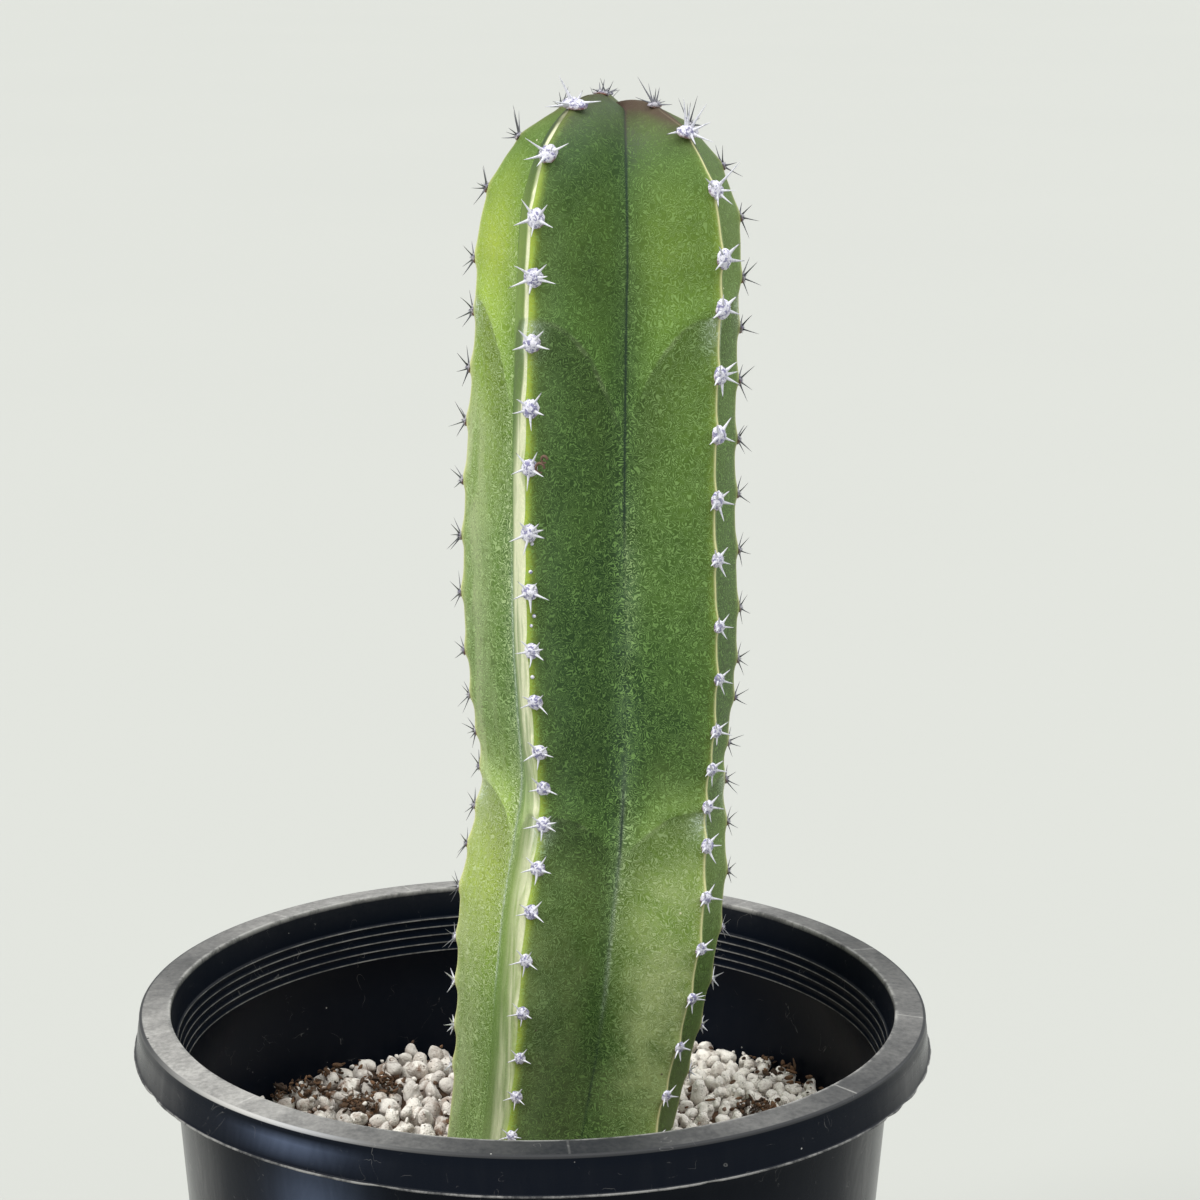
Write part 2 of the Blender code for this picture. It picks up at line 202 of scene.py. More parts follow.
def add_thing(name: str, data: bpy.types.ID) -> Thing:
    """Add something to the scene.

    Args:
        name: The object's name.
        data: Its mesh, light or camera.

    Returns:
        The object.
    """
    thing = bpy.data.objects.new(name, data)
    bpy.context.scene.collection.objects.link(thing)
    return thing


def random_turn(draws: Random, lean: float = pi) -> Array:
    """Draw a rotation.

    Args:
        draws: The random draws.
        lean: How far the turned thing may lean from level at most.

    Returns:
        A rotation matrix of three rows.
    """
    spin = Matrix.Rotation(draws.uniform(-pi, pi), 3, "Z")
    tip = Matrix.Rotation(draws.uniform(-lean, lean), 3, "Y")
    roll = Matrix.Rotation(draws.uniform(-pi, pi), 3, "X")
    return np.array(spin @ tip @ roll)


def random_way(draws: Random) -> Array:
    """Draw a direction, even over all sides."""
    return np.array(Vector((draws.gauss(0, 1), draws.gauss(0, 1), draws.gauss(0, 1))).normalized())


def random_bend(draws: Random, low: float, high: float) -> Array:
    """Draw an offset within 1 both ways across and along, and between two values outwards."""
    return np.array((draws.uniform(-1, 1), draws.uniform(-1, 1), draws.uniform(low, high)))


class Draft:
    """Points, faces and point marks of a mesh in the making."""

    def __init__(self) -> None:
        """Start with nothing."""
        self.points: list[Array] = []
        self.faces: list[tuple[int, ...]] = []
        self.marks: dict[str, list[Array]] = {}
        self.count = 0

    def add(self, points: Sequence, faces: Iterable, **marks: float | Sequence) -> None:
        """Add a body.

        Args:
            points: Its points.
            faces: Its faces, counted from its own first point.
            marks: One value for the whole body or one for each point, by the mark's name.
        """
        rows = np.asarray([tuple(point) for point in points], float)
        start = self.count
        self.points.append(rows)
        self.faces.extend(tuple(int(index) + start for index in face) for face in faces)
        for name, value in marks.items():
            values = np.broadcast_to(np.asarray(value, np.float32), (len(rows),))
            self.marks.setdefault(name, []).append(values)
        self.count += len(rows)

    def piece(
        self, name: str, material: Material, slot: Slot | None = None, stands_for: str = ""
    ) -> Thing:
        """Make the piece, which moves with the pot.

        Args:
            name: The piece's name.
            material: Its finish.
            slot: The record's material slot; not used.
            stands_for: The node that it replaces.

        Returns:
            The new object.
        """
        mesh = bpy.data.meshes.new(name)
        mesh.from_pydata(np.concatenate(self.points).tolist(), [], self.faces)
        for mark, values in self.marks.items():
            held = mesh.attributes.new(mark, "FLOAT", "POINT")
            held.data.foreach_set("value", np.concatenate(values).astype(np.float32))
        mesh.shade_smooth()
        mesh.materials.append(material)
        thing = add_thing(name, mesh)
        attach(thing, "root")
        if stands_for:
            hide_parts(stands_for)
        return thing


class Wire:
    """An output of a node, on which operators add further nodes."""

    def __init__(self, sheet: "Sheet", socket: bpy.types.NodeSocket) -> None:
        """Hold the output and the sheet that it is on."""
        self.sheet = sheet
        self.socket = socket

    def _maths(self, operation: str, left: Value, right: Value) -> "Wire":
        """Add the node that fits what the two sides carry.

        Args:
            operation: What it works out.
            left: The left side.
            right: The right side.

        Returns:
            Its output.
        """
        kinds = {side.socket.type for side in (left, right) if isinstance(side, Wire)}
        if "RGBA" in kinds:
            return self.sheet.blend(1.0, left, right, operation)
        kind = "ShaderNodeVectorMath" if "VECTOR" in kinds else "ShaderNodeMath"
        return self.sheet.node(kind, {"operation": operation}, {0: left, 1: right})

    def __add__(self, other: Value) -> "Wire":
        """Add."""
        return self._maths("ADD", self, other)

    def __radd__(self, other: Value) -> "Wire":
        """Add to."""
        return self._maths("ADD", other, self)

    def __sub__(self, other: Value) -> "Wire":
        """Subtract."""
        return self._maths("SUBTRACT", self, other)

    def __rsub__(self, other: Value) -> "Wire":
        """Subtract from."""
        return self._maths("SUBTRACT", other, self)

    def __mul__(self, other: Value) -> "Wire":
        """Multiply."""
        return self._maths("MULTIPLY", self, other)

    def __rmul__(self, other: Value) -> "Wire":
        """Multiply by."""
        return self._maths("MULTIPLY", other, self)

    def __abs__(self) -> "Wire":
        """Give the size without its sign."""
        return self.sheet.node("ShaderNodeMath", {"operation": "ABSOLUTE"}, {0: self})

    def step(self, low: float, high: float) -> "Wire":
        """Rise smoothly from 0 at a low value to 1 at a high one, or fall where low is above high."""
        values = {"Value": self, "From Min": low, "From Max": high}
        return self.sheet.node("ShaderNodeMapRange", {"interpolation_type": "SMOOTHSTEP"}, values)

    def sine(self) -> "Wire":
        """Give the sine of an angle in radians."""
        return self.sheet.node("ShaderNodeMath", {"operation": "SINE"}, {0: self})


class Sheet:
    """The node sheet of a material."""

    def __init__(self, name: str) -> None:
        """Start a material with a plain shader.

        Args:
            name: The material's name.
        """
        self.material = bpy.data.materials.new(name)
        self.material.use_nodes = True
        self.tree = self.material.node_tree
        self.shader = self.tree.nodes["Principled BSDF"]
        self.place = self.node("ShaderNodeTexCoord", {}, {}, "Object")

    def feed(self, socket: bpy.types.NodeSocket, value: Value) -> None:
        """Link a wire to a socket, or set the socket to a value.

        Args:
            socket: An input of a node.
            value: What it gets. One number stands for a grey where a colour is wanted.
        """
        if isinstance(value, Wire):
            self.tree.links.new(value.socket, socket)
        elif socket.type == "RGBA":
            shades = value if isinstance(value, tuple) else (value,) * 3
            socket.default_value = (*shades, 1.0)
        else:
            socket.default_value = value

    def node(
        self, kind: str, settings: dict[str, object], inputs: dict[str | int, Value], output: int | str = 0
    ) -> Wire:
        """Add a node.

        Args:
            kind: The node's type.
            settings: What is set on the node before its sockets.
            inputs: Values or wires, by the name or number of the socket.
            output: Name or number of the output that is wanted.

        Returns:
            That output.
        """
        made = self.tree.nodes.new(kind)
        for name, value in settings.items():
            setattr(made, name, value)
        for name, value in inputs.items():
            self.feed(made.inputs[name], value)
        return Wire(self, made.outputs[output])

    def blend(self, share: Wire | float, below: Value, above: Value, how: str = "MIX") -> Wire:
        """Lay one colour over another by a share, which is kept between 0 and 1."""
        settings = {"data_type": "RGBA", "blend_type": how, "clamp_factor": True}
        return self.node("ShaderNodeMix", settings, {0: share, 6: below, 7: above}, 2)

    def mark(self, name: str) -> Wire:
        """Read a mark that the mesh carries at its points."""
        return self.node("ShaderNodeAttribute", {"attribute_name": name}, {}, "Fac")

    def cloud(
        self,
        size: float,
        detail: float = 3.0,
        rough: float = 0.5,
        swirl: float = 0.0,
        place: Wire | None = None,
    ) -> Wire:
        """Read cloudy noise about 0.5.

        Args:
            size: Length of its lumps.
            detail: Number of finer layers on them.
            rough: Strength of each finer layer beside the last.
            swirl: How far the lumps are swirled.
            place: Where it is read, or the place on the piece.

        Returns:
            A value from 0 to 1.
        """
        inputs = {"Vector": place or self.place, "Scale": 1.0 / size, "Detail": detail}
        inputs |= {"Roughness": rough, "Distortion": swirl}
        return self.node("ShaderNodeTexNoise", {}, inputs)

    def dots(self, pitch: float, radius: float, share: float) -> Wire:
        """Scatter round dots.

        Args:
            pitch: Distance between places where a dot may be.
            radius: A dot's radius.
            share: How many of the places have a dot, from 0 to 1.

        Returns:
            1 inside a dot, 0 outside.
        """
        inputs = {"Vector": self.place, "Scale": 1.0 / pitch}
        near = self.node("ShaderNodeTexVoronoi", {}, inputs, "Distance")
        chance = self.node("ShaderNodeTexVoronoi", {}, inputs, "Color")
        drawn = self.node("ShaderNodeSeparateColor", {}, {0: chance})
        return near.step(radius / pitch, 0.6 * radius / pitch) * drawn.step(share, share - 0.02)

    def relief(self, height: Wire, depth: float, strength: float = 1.0) -> Wire:
        """Turn a height from 0 to 1 into a relief of a depth."""
        inputs = {"Strength": strength, "Distance": depth, "Height": height}
        return self.node("ShaderNodeBump", {}, inputs, "Normal")

    def surface(self, **values: Value) -> Material:
        """Set the shader's sockets, with _ for the blanks in their names.

        Args:
            values: Values or wires, by socket.

        Returns:
            The material.
        """
        for name, value in values.items():
            self.feed(self.shader.inputs[name.replace("_", " ")], value)
        return self.material


@dataclass(frozen=True)
class SkinFinish:
    """The waxy green skin of the stem, painted by the marks on its mesh. Painted light and shade are among
    them: lighter above the growth ledges and darker below, a painted highlight in the cream strips, and
    painted shade in the grooves and over the dome.
    """

    deep: Colour = (0.020, 0.057, 0.009)
    leaf: Colour = (0.138, 0.258, 0.035)
    lime: Colour = (0.340, 0.440, 0.050)
    cream_and_highlight: Colour = (0.700, 0.710, 0.485)
    wax: Colour = (0.085, 0.160, 0.080)
    dusk: Colour = (0.112, 0.156, 0.047)
    fibre: Colour = (0.215, 0.385, 0.105)
    # Colour of the painted shade in the grooves' creases.
    seam: Colour = (0.010, 0.026, 0.018)
    edge: Colour = (0.800, 0.760, 0.400)
    pale: Colour = (0.370, 0.450, 0.180)
    frost: Colour = (0.500, 0.590, 0.335)
    bloom: Colour = (0.500, 0.580, 0.500)
    umber: Colour = (0.070, 0.036, 0.030)
    corky: Colour = (0.360, 0.270, 0.150)
    patch_size: float = 0.014
    mottle_size: float = 0.015
    streak_size: float = 0.006
    fibre_size: float = 0.0026
    fibre_turns: float = 52.0
    grain_size: float = 0.0011
    ledge_light: float = 1.48
    ledge_shade: float = 0.55
    rime_width: float = 0.0011
    roughness: float = 0.52
    relief_depth: float = 0.00022

    def material(self) -> Material:
        """Make the finish.

        Returns:
            The material.
        """
        sheet = Sheet("stem_skin")
        patches = sheet.cloud(self.patch_size, 3.0, 0.55)
        streaks = sheet.cloud(self.streak_size, 3.0, 0.6, 0.4, sheet.place * (1.0, 1.0, 0.16))
        mottles = sheet.cloud(self.mottle_size, 4.0, 0.6, 0.4).step(0.22, 0.80)
        waves = (sheet.cloud(self.fibre_size, 0.7, 0.5, 1.1) * self.fibre_turns).sine()
        waves = waves * sheet.cloud(0.0014, 2.0, 0.6).step(0.26, 0.56)
        curls = waves.step(0.0, 0.9)
        tone = sheet.mark("tone") + (patches - 0.5) * 0.36 + (streaks - 0.5) * 0.14
        lime = sheet.mark("lime") * (0.65 + patches * 0.7)
        # The cream strip by a crest: partly a cream margin of its own, partly a painted highlight on a
        # flank seen edge on.
        cream_and_highlight = sheet.mark("cream_and_highlight") * (0.35 + streaks.step(0.36, 0.64))
        frosty = sheet.mark("tone") * 1.1 + sheet.mark("pale") + sheet.mark("wax") * 0.5 - 0.2
        past = sheet.mark("past") + (patches - 0.5) * 0.0016 + (streaks - 0.5) * 0.0006
        rim = sheet.mark("rim")
        above = past.step(-0.0004, 0.0006) * past.step(0.014, 0.001) * rim
        below = past.step(0.0005, -0.0006) * past.step(-0.022, -0.002) * rim
        rime = abs(past + 0.0004).step(self.rime_width, 0.0002) * rim * patches.step(0.42, 0.62)
        colour = sheet.blend(tone, self.deep, self.leaf)
        for share, upper in (
            (sheet.mark("dusk"), self.dusk),
            (sheet.mark("wax") * patches.step(0.25, 0.65), self.wax),
            (lime, self.lime),
            (sheet.mark("pale") * mottles * 1.3, self.pale),
            (cream_and_highlight, self.cream_and_highlight),
        ):
            colour = sheet.blend(share, colour, upper)
        colour = sheet.blend(waves.step(-0.1, -0.9) * sheet.mark("curls") * 0.8, colour, colour * 0.55)
        fibres = sheet.blend(frosty, self.fibre, self.frost)
        colour = sheet.blend(curls * sheet.mark("curls"), colour, fibres)
        colour = sheet.blend(above * 0.62, colour, colour * self.ledge_light)
        colour = sheet.blend(below * 0.50, colour, colour * self.ledge_shade)
        for share, upper in (
            (rime * (0.10 + curls * 0.14), self.frost),
            (sheet.mark("bloom") * (0.3 + curls), self.bloom),
            # Painted shade along the groove's crease.
            (sheet.mark("seam"), self.seam),
            (sheet.mark("line"), self.edge),
            (sheet.mark("umber"), self.umber),
            (sheet.dots(0.011, 0.0005, 0.30) * 0.8, self.cream_and_highlight),
            (sheet.dots(0.013, 0.0006, 0.22) * 0.8, self.umber),
            (sheet.dots(0.027, 0.0009, 0.20) * 0.7, self.corky),
        ):
            colour = sheet.blend(share, colour, upper)
        height = curls * 0.5 + patches * 0.6 + sheet.cloud(self.grain_size, 2.0) * 0.4
        return sheet.surface(
            Base_Color=colour,
            Roughness=self.roughness + (patches - 0.5) * 0.16 + curls * 0.08,
            Normal=sheet.relief(height, self.relief_depth, 0.5),
            Specular_IOR_Level=0.28,
        )


@dataclass(frozen=True)
class FeltFinish:
    """The white wool of the areoles, stained by age, with blotches of painted shade; areoles that stand
    against the light are greyed as painted shade.
    """

    wool: Colour = (0.780, 0.770, 0.860)
    shade: Colour = (0.170, 0.160, 0.330)
    ash: Colour = (0.130, 0.120, 0.130)
    rust: Colour = (0.230, 0.085, 0.035)

    def material(self) -> Material:
        """Make the finish.

        Returns:
            The material.
        """
        sheet = Sheet("areole_felt")
        blotches = sheet.cloud(0.0013, 3.0, 0.65, 0.8)
        strands = sheet.cloud(0.00045, 2.0, 0.6, 1.5)
        colour = sheet.blend(blotches.step(0.47, 0.58) * 0.9, self.wool, self.shade)
        colour = sheet.blend(sheet.mark("ashen"), colour, self.ash)
        # Rust at the pad's lower rim: a real scale that also stands for the shade under the pad.
        colour = sheet.blend(sheet.mark("rust") * blotches.step(0.30, 0.55), colour, self.rust)
        return sheet.surface(
            Base_Color=colour * (0.75 + strands * 0.5),
            Roughness=0.95,
            Normal=sheet.relief(strands + blotches, 0.0004, 0.8),
            Sheen_Weight=0.3,
            Specular_IOR_Level=0.2,
        )


@dataclass(frozen=True)
class SpineFinish:
    """Chalky spines with a few charred tips, greyed as painted shade where they stand against the light."""

    chalk: Colour = (0.720, 0.720, 0.790)
    grey: Colour = (0.260, 0.280, 0.370)
    ash: Colour = (0.060, 0.062, 0.080)
    char: Colour = (0.020, 0.014, 0.012)

    def material(self) -> Material:
        """Make the finish.

        Returns:
            The material.
        """
        sheet = Sheet("spine")
        grain = sheet.cloud(0.0009, 3.0, 0.6, 0.5)
        colour = sheet.blend(grain.step(0.5, 0.72) * 0.7, self.chalk, self.grey)
        colour = sheet.blend(sheet.mark("ashen"), colour, self.ash)
        colour = sheet.blend(sheet.mark("charred"), colour, self.char)
        return sheet.surface(
            Base_Color=colour, Roughness=0.45 + grain * 0.3, Normal=sheet.relief(grain, 0.0001, 0.6)
        )


@dataclass(frozen=True)
class PlasticFinish:
    """Black nursery plastic, dusty and scuffed on the lip and smudged on the skirt. Painted light is laid
    on as well: highlights on the skirt and along the lip's outer corner, a reflection at the skirt's sides,
    and more dust on the lip's sides where light falls.
    """

    black: Colour = (0.0024, 0.0042, 0.0088)
    dust_and_light: Colour = (0.360, 0.352, 0.342)
    chalk: Colour = (0.600, 0.590, 0.570)
    painted_highlight: Colour = (0.060, 0.078, 0.125)

    def material(self) -> Material:
        """Make the finish.

        Returns:
            The material.
        """
        sheet = Sheet("black_plastic")
        film = sheet.cloud(0.011, 5.0, 0.62, 0.3)
        fine = sheet.cloud(0.0016, 3.0, 0.65)
        smears = sheet.cloud(0.007, 4.0, 0.6, 0.8, sheet.place * (1.0, 1.0, 0.25))
        hairs = abs(sheet.cloud(0.013, 2.0, 0.5, 1.2) - 0.5).step(0.004, 0.001) * film.step(0.54, 0.62)
        # Painted highlight: a soft bluish reflection on the skirt to the front left, and on the lip's outer
        # corner.
        painted_highlight = sheet.mark("painted_highlight") * (0.6 + smears * 0.8)
        # Dust on the lip, laid on more on its sides where light falls: real dust with painted light.
        dust_and_light = sheet.mark("dust_and_light") * (0.48 + film.step(0.25, 0.8) * 0.32 + (fine - 0.5) * 0.7)
        # Smudges, with a painted reflection that lightens the skirt towards its sides.
        smudge_and_reflection = sheet.mark("smudge_and_reflection") * (0.10 + smears.step(0.35, 0.85) * 0.12)
        ragged = (film * 0.7 + fine * 0.3).step(0.40, 0.60)
        scuff = sheet.mark("scuff") * (0.25 + ragged)
        colour = sheet.blend(painted_highlight, self.black, self.painted_highlight)
        for share, upper in (
            (dust_and_light + smudge_and_reflection, self.dust_and_light),
            (scuff, self.chalk),
            # Painted highlight: a bright line along the lip's outer corner, strongest to the front left.
            (sheet.mark("painted_glint"), self.chalk),
            (hairs * 0.22, self.dust_and_light),
            (sheet.dots(0.006, 0.00035, 0.16) * 0.55, self.chalk),
            (sheet.dots(0.007, 0.0006, 0.22) * sheet.mark("dust_and_light"), self.black),
        ):
            colour = sheet.blend(share, colour, upper)
        rough = 0.26 + sheet.mark("dust_and_light") * 0.24 + film * 0.10 + smears * 0.06 - sheet.mark("gloss") * 0.13
        return sheet.surface(
            Base_Color=colour,
            Roughness=rough,
            Normal=sheet.relief(film * 0.6 + fine * 0.4, 0.00016, 0.45),
            Specular_IOR_Level=0.06,
        )


@dataclass(frozen=True)
class PumiceFinish:
    """Pale porous grains, each a little different, stained brown in their pits and browner towards their
    undersides; their grey and stain marks also carry painted light.
    """

    pale: Colour = (0.900, 0.860, 0.800)
    grey: Colour = (0.520, 0.485, 0.455)
    stain: Colour = (0.165, 0.085, 0.045)
    pit: Colour = (0.060, 0.040, 0.028)

    def material(self) -> Material:
        """Make the finish.

        Returns:
            The material.
        """
        sheet = Sheet("pumice")
        blotches = sheet.cloud(0.0035, 4.0, 0.62, 0.3)
        pores = sheet.node("ShaderNodeTexVoronoi", {}, {"Vector": sheet.place, "Scale": 1100.0}, "Distance")
        grit = sheet.cloud(0.0007, 3.0, 0.7)
        grey = sheet.mark("grey") + (blotches - 0.5) * 0.7
        stain = sheet.mark("stain") * blotches.step(0.35, 0.6)
        colour = sheet.blend(grey, self.pale, self.grey)
        colour = sheet.blend(stain, colour, self.stain)
        colour = sheet.blend(grit.step(0.60, 0.74) * 0.42, colour, self.stain)
        colour = sheet.blend(sheet.dots(0.0026, 0.0004, 0.45) * 0.8, colour, self.pit)
        height = pores.step(0.0, 0.45) * 0.6 + grit * 0.5 + blotches * 0.8
        return sheet.surface(
            Base_Color=colour,
            Roughness=0.92,
            Normal=sheet.relief(height, 0.0006, 0.8),
            Specular_IOR_Level=0.25,
        )


@dataclass(frozen=True)
class BarkFinish:
    """Damp bark and peat, from black brown to rust."""

    dark: Colour = (0.040, 0.023, 0.014)
    rust: Colour = (0.190, 0.098, 0.048)
    straw: Colour = (0.420, 0.270, 0.140)

    def material(self, name: str) -> Material:
        """Make the finish.

        Args:
            name: The material's name.

        Returns:
            The material.
        """
        sheet = Sheet(name)
        grain = sheet.cloud(0.0016, 4.0, 0.65, 1.0)
        crumbs = sheet.cloud(0.0006, 3.0, 0.6)
        colour = sheet.blend(sheet.mark("rust") + (grain - 0.5) * 0.9, self.dark, self.rust)
        colour = sheet.blend(crumbs.step(0.60, 0.75) * sheet.mark("rust"), colour, self.straw)
        return sheet.surface(
            Base_Color=colour, Roughness=0.85, Normal=sheet.relief(grain + crumbs, 0.0006, 0.9)
        )


@dataclass(frozen=True)
class FloorFinish:
    """A plain pale floor."""

    pale: Colour = (0.415, 0.422, 0.404)
    patchy: Colour = (0.393, 0.400, 0.386)

    def material(self) -> Material:
        """Make the finish.

        Returns:
            The material.
        """
        sheet = Sheet("pale_floor")
        colour = sheet.blend(sheet.cloud(0.6, 2.0) * 0.4, self.pale, self.patchy)
        return sheet.surface(Base_Color=colour, Roughness=0.8, Specular_IOR_Level=0.1)


@dataclass
class Pot:
    """The nursery pot: a lip, a hollow skirt, a ringed collar, a tapered wall, a foot and drain holes."""

    height: float = 0.2
    rim_radius: float = 0.125
    lip_width: float = 0.0098
    lip_rise: float = 0.0009
    lip_thickness: float = 0.002
    skirt_depth: float = 0.0122
    skirt_flare: float = 0.0012
    skirt_thickness: float = 0.0018
    flash_width: float = 0.0008
    flash_thickness: float = 0.0005
    collar_depth: float = 0.0206
    collar_taper: float = 0.0037
    step_depth: float = 0.0088
    step_width: float = 0.0003
    ring_depths: Row = (0.0095, 0.0123, 0.0151, 0.0179, 0.0206)
    ring_width: float = 0.0006
    ring_proud: float = 0.00022
    wall_thickness: float = 0.0023
    wall_taper: float = 0.077
    floor_thickness: float = 0.0025
    foot_height: float = 0.003
    foot_width: float = 0.0055
    foot_slope: float = 0.0016
    hole_count: int = 6
    hole_radius: float = 0.007
    hole_circle: float = 0.062
    hole_sides: int = 32
    sides: int = 336
    wall_rows: int = 12
    scar_bearings: Row = (-75.2, -44.9, 51.0, 83.1, 113.6, 142.9, 171.0, -133.0, -158.0, 5.0)
    scar_width: float = 0.0005
    scar_proud: float = 0.00012
    scar_scuff: float = 0.38
    # The lip's dust is least at the front and peaks at these bearings, where light falls: real dust with
    # painted light on top.
    least_dust_and_light: float = 0.12
    patchy: Rows = (
        (-60.0, 1.32, 40.0), (36.0, 0.46, 20.0), (95.0, 0.62, 48.0),
        (-150.0, 1.05, 46.0), (160.0, 1.05, 46.0),
    )
    # Painted reflection: the smudging rises between the first two bearings and falls between the last two,
    # lighter at the skirt's sides.
    reflection_start: tuple[float, float] = (53.0, 66.0)
    reflection_end: tuple[float, float] = (84.0, 118.0)
    # Where the painted highlight on the skirt lies, and how wide it is.
    painted_highlight_bearing: float = -34.0
    painted_highlight_width: float = 7.5
    # Where the painted highlight line on the lip's outer corner is strongest, and how wide it is.
    painted_glint_bearing: float = -42.0
    painted_glint_width: float = 17.0
    nick_lift: float = 0.0002
    nick_bearings: Row = (58.0, 63.5, 71.0, 78.0, -66.0, -20.0, 24.0, 120.0, 200.0)
    dent_depth: float = 0.00022
    rim_wave: float = 0.00018
    mark_names: tuple[str, ...] = ("dust_and_light", "smudge_and_reflection", "scuff", "painted_highlight", "gloss", "painted_glint")

    def wall(self, height: float) -> float:
        """Give the radius of the inside at a height, below the collar."""
        foot = self.rim_radius - self.lip_width - self.collar_taper
        return foot - (self.height - self.collar_depth - height) * self.wall_taper

    def collar(self, depth: float) -> float:
        """Give the radius of the inside at a depth below the rim, within the collar."""
        return self.rim_radius - self.lip_width - self.collar_taper * depth / self.collar_depth

    def floor(self) -> float:
        """Give the height of the floor's upper face."""
        return self.foot_height + self.floor_thickness

    def corners(self) -> list[tuple[float, float, float, dict[str, float]]]:
        """List the outline's corners, from under the foot over the lip to the floor inside.

        Returns:
            Radius, height, rounding and marks of each corner.
        """
        top, mouth, thick = self.height, self.rim_radius - self.lip_width, self.wall_thickness
        foot = self.wall(0.0) + thick
        collar, skirt = top - self.collar_depth, top - self.skirt_depth
        rim, step = self.rim_radius, self.step_depth
        skirt_radius = rim + self.skirt_flare
        flash = skirt_radius + self.flash_width
        # The outer wall and skirt carry smudges with a painted reflection, the painted highlight, and
        # gloss.
        outer = {"smudge_and_reflection": 1.0, "painted_highlight": 1.0, "gloss": 1.0}
        lip = {"dust_and_light": 1.0}
        rows = [
            (foot - self.foot_width - self.foot_slope, self.foot_height, 0.0006, {}),
            (foot - self.foot_width, 0.0, 0.0006, {}),
            (foot, 0.0, 0.0012, {"smudge_and_reflection": 0.6, "scuff": 0.22}),
            (self.wall(0.0020) + thick, 0.0020, 0.0, {"smudge_and_reflection": 1.0, "scuff": 0.06}),
            (self.wall(0.0060) + thick, 0.0060, 0.0, outer),
        ]
        for row in range(1, self.wall_rows):
            height = collar * row / self.wall_rows
            rows.append((self.wall(height) + thick, height, 0.0, outer))
        rows += [
            (self.wall(collar) + thick, collar, 0.001, outer),
            (self.collar(step) + thick, top - step, 0.001, {}),
            (mouth + thick, top - self.lip_thickness, 0.0010, {}),
            (rim - self.skirt_thickness, top - self.lip_thickness, 0.0010, {}),
            (skirt_radius - self.skirt_thickness, skirt, 0.0003, {}),
            (flash, skirt, 0.00015, {"scuff": 0.26, "flash": 1.0}),
            (flash, skirt + self.flash_thickness, 0.00015, {"scuff": 0.30, "flash": 1.0}),
            (skirt_radius - 0.0001, skirt + 1.6 * self.flash_thickness, 0.0003, {"smudge_and_reflection": 0.8}),
            (rim + 0.4 * self.skirt_flare, top - 0.4 * self.skirt_depth, 0.0, outer),
            (rim, top - 0.0016, 0.0006, {"smudge_and_reflection": 0.6}),
            # The lip's outer corner, with its painted highlights.
            (rim, top, 0.0008, {"painted_highlight": 1.0, "painted_glint": 1.0}),
            (rim - 0.0016, top + 0.0002, 0.0005, lip),
            (mouth + 0.0018, top + self.lip_rise - 0.0001, 0.0005, lip),
            (mouth, top + self.lip_rise, 0.0005, {"dust_and_light": 0.55, "scuff": 0.32}),
            (self.collar(0.0010), top - 0.0010, 0.0002, {"dust_and_light": 0.04}),
            (self.collar(step), top - step, 0.0004, {}),
            (self.collar(step) - self.step_width, top - step - 0.0003, 0.0002, {}),
        ]
        for depth in self.ring_depths:
            half = self.ring_width / 2
            radius = self.collar(depth) - self.step_width
            rows += [
                (radius, top - depth + half, 0.0, {}),
                (radius - self.ring_proud, top - depth, 0.0, {"dust_and_light": 0.80, "scuff": 0.26}),
                (radius, top - depth - half, 0.0, {}),
            ]
        for row in range(self.wall_rows - 1, 0, -1):
            height = self.floor() + (collar - self.floor()) * row / self.wall_rows
            rows.append((self.wall(height), height, 0.0, {"smudge_and_reflection": 0.15}))
        rows.append((self.wall(self.floor()), self.floor(), 0.0025, {}))
        rows.append((self.wall(self.floor()) - 0.008, self.floor(), 0.0, {}))
        return rows

    @staticmethod
    def rounded(corners: Sequence, steps: int = 3) -> list[tuple[float, float, dict[str, float]]]:
        """Round an outline's corners.

        Args:
            corners: Radius, height, rounding and marks of each corner.
            steps: Number of faces in each rounding.

        Returns:
            Radius, height and marks of each point.
        """
        points = []
        for index, (radius, height, rounding, marks) in enumerate(corners):
            here = Vector((radius, height))
            if rounding == 0.0 or index in (0, len(corners) - 1):
                points.append((radius, height, marks))
                continue
            ends = []
            for neighbour in (corners[index - 1], corners[index + 1]):
                way = Vector(neighbour[:2]) - here
                ends.append(here + way.normalized() * min(rounding, 0.48 * way.length))
            for step in range(steps + 1):
                t = step / steps
                place = ends[0] * (1 - t) ** 2 + here * (2 * t * (1 - t)) + ends[1] * t**2
                points.append((place.x, place.y, marks))
        return points

    def bearings(self) -> list[float]:
        """List the bearings of the outline's copies.

        Returns:
            Even bearings, with finer ones at the moulding scars.
        """
        evenly = [360.0 * side / self.sides - 180.0 for side in range(self.sides)]
        half = degrees(self.scar_width / self.rim_radius) / 2
        fine = [
            (scar + offset * half + 180.0) % 360.0 - 180.0
            for scar in self.scar_bearings
            for offset in (-2, -0.7, 0.7, 2)
        ]
        kept = [bearing for bearing in evenly if all(abs(bearing - other) > half for other in fine)]
        return sorted(kept + fine)

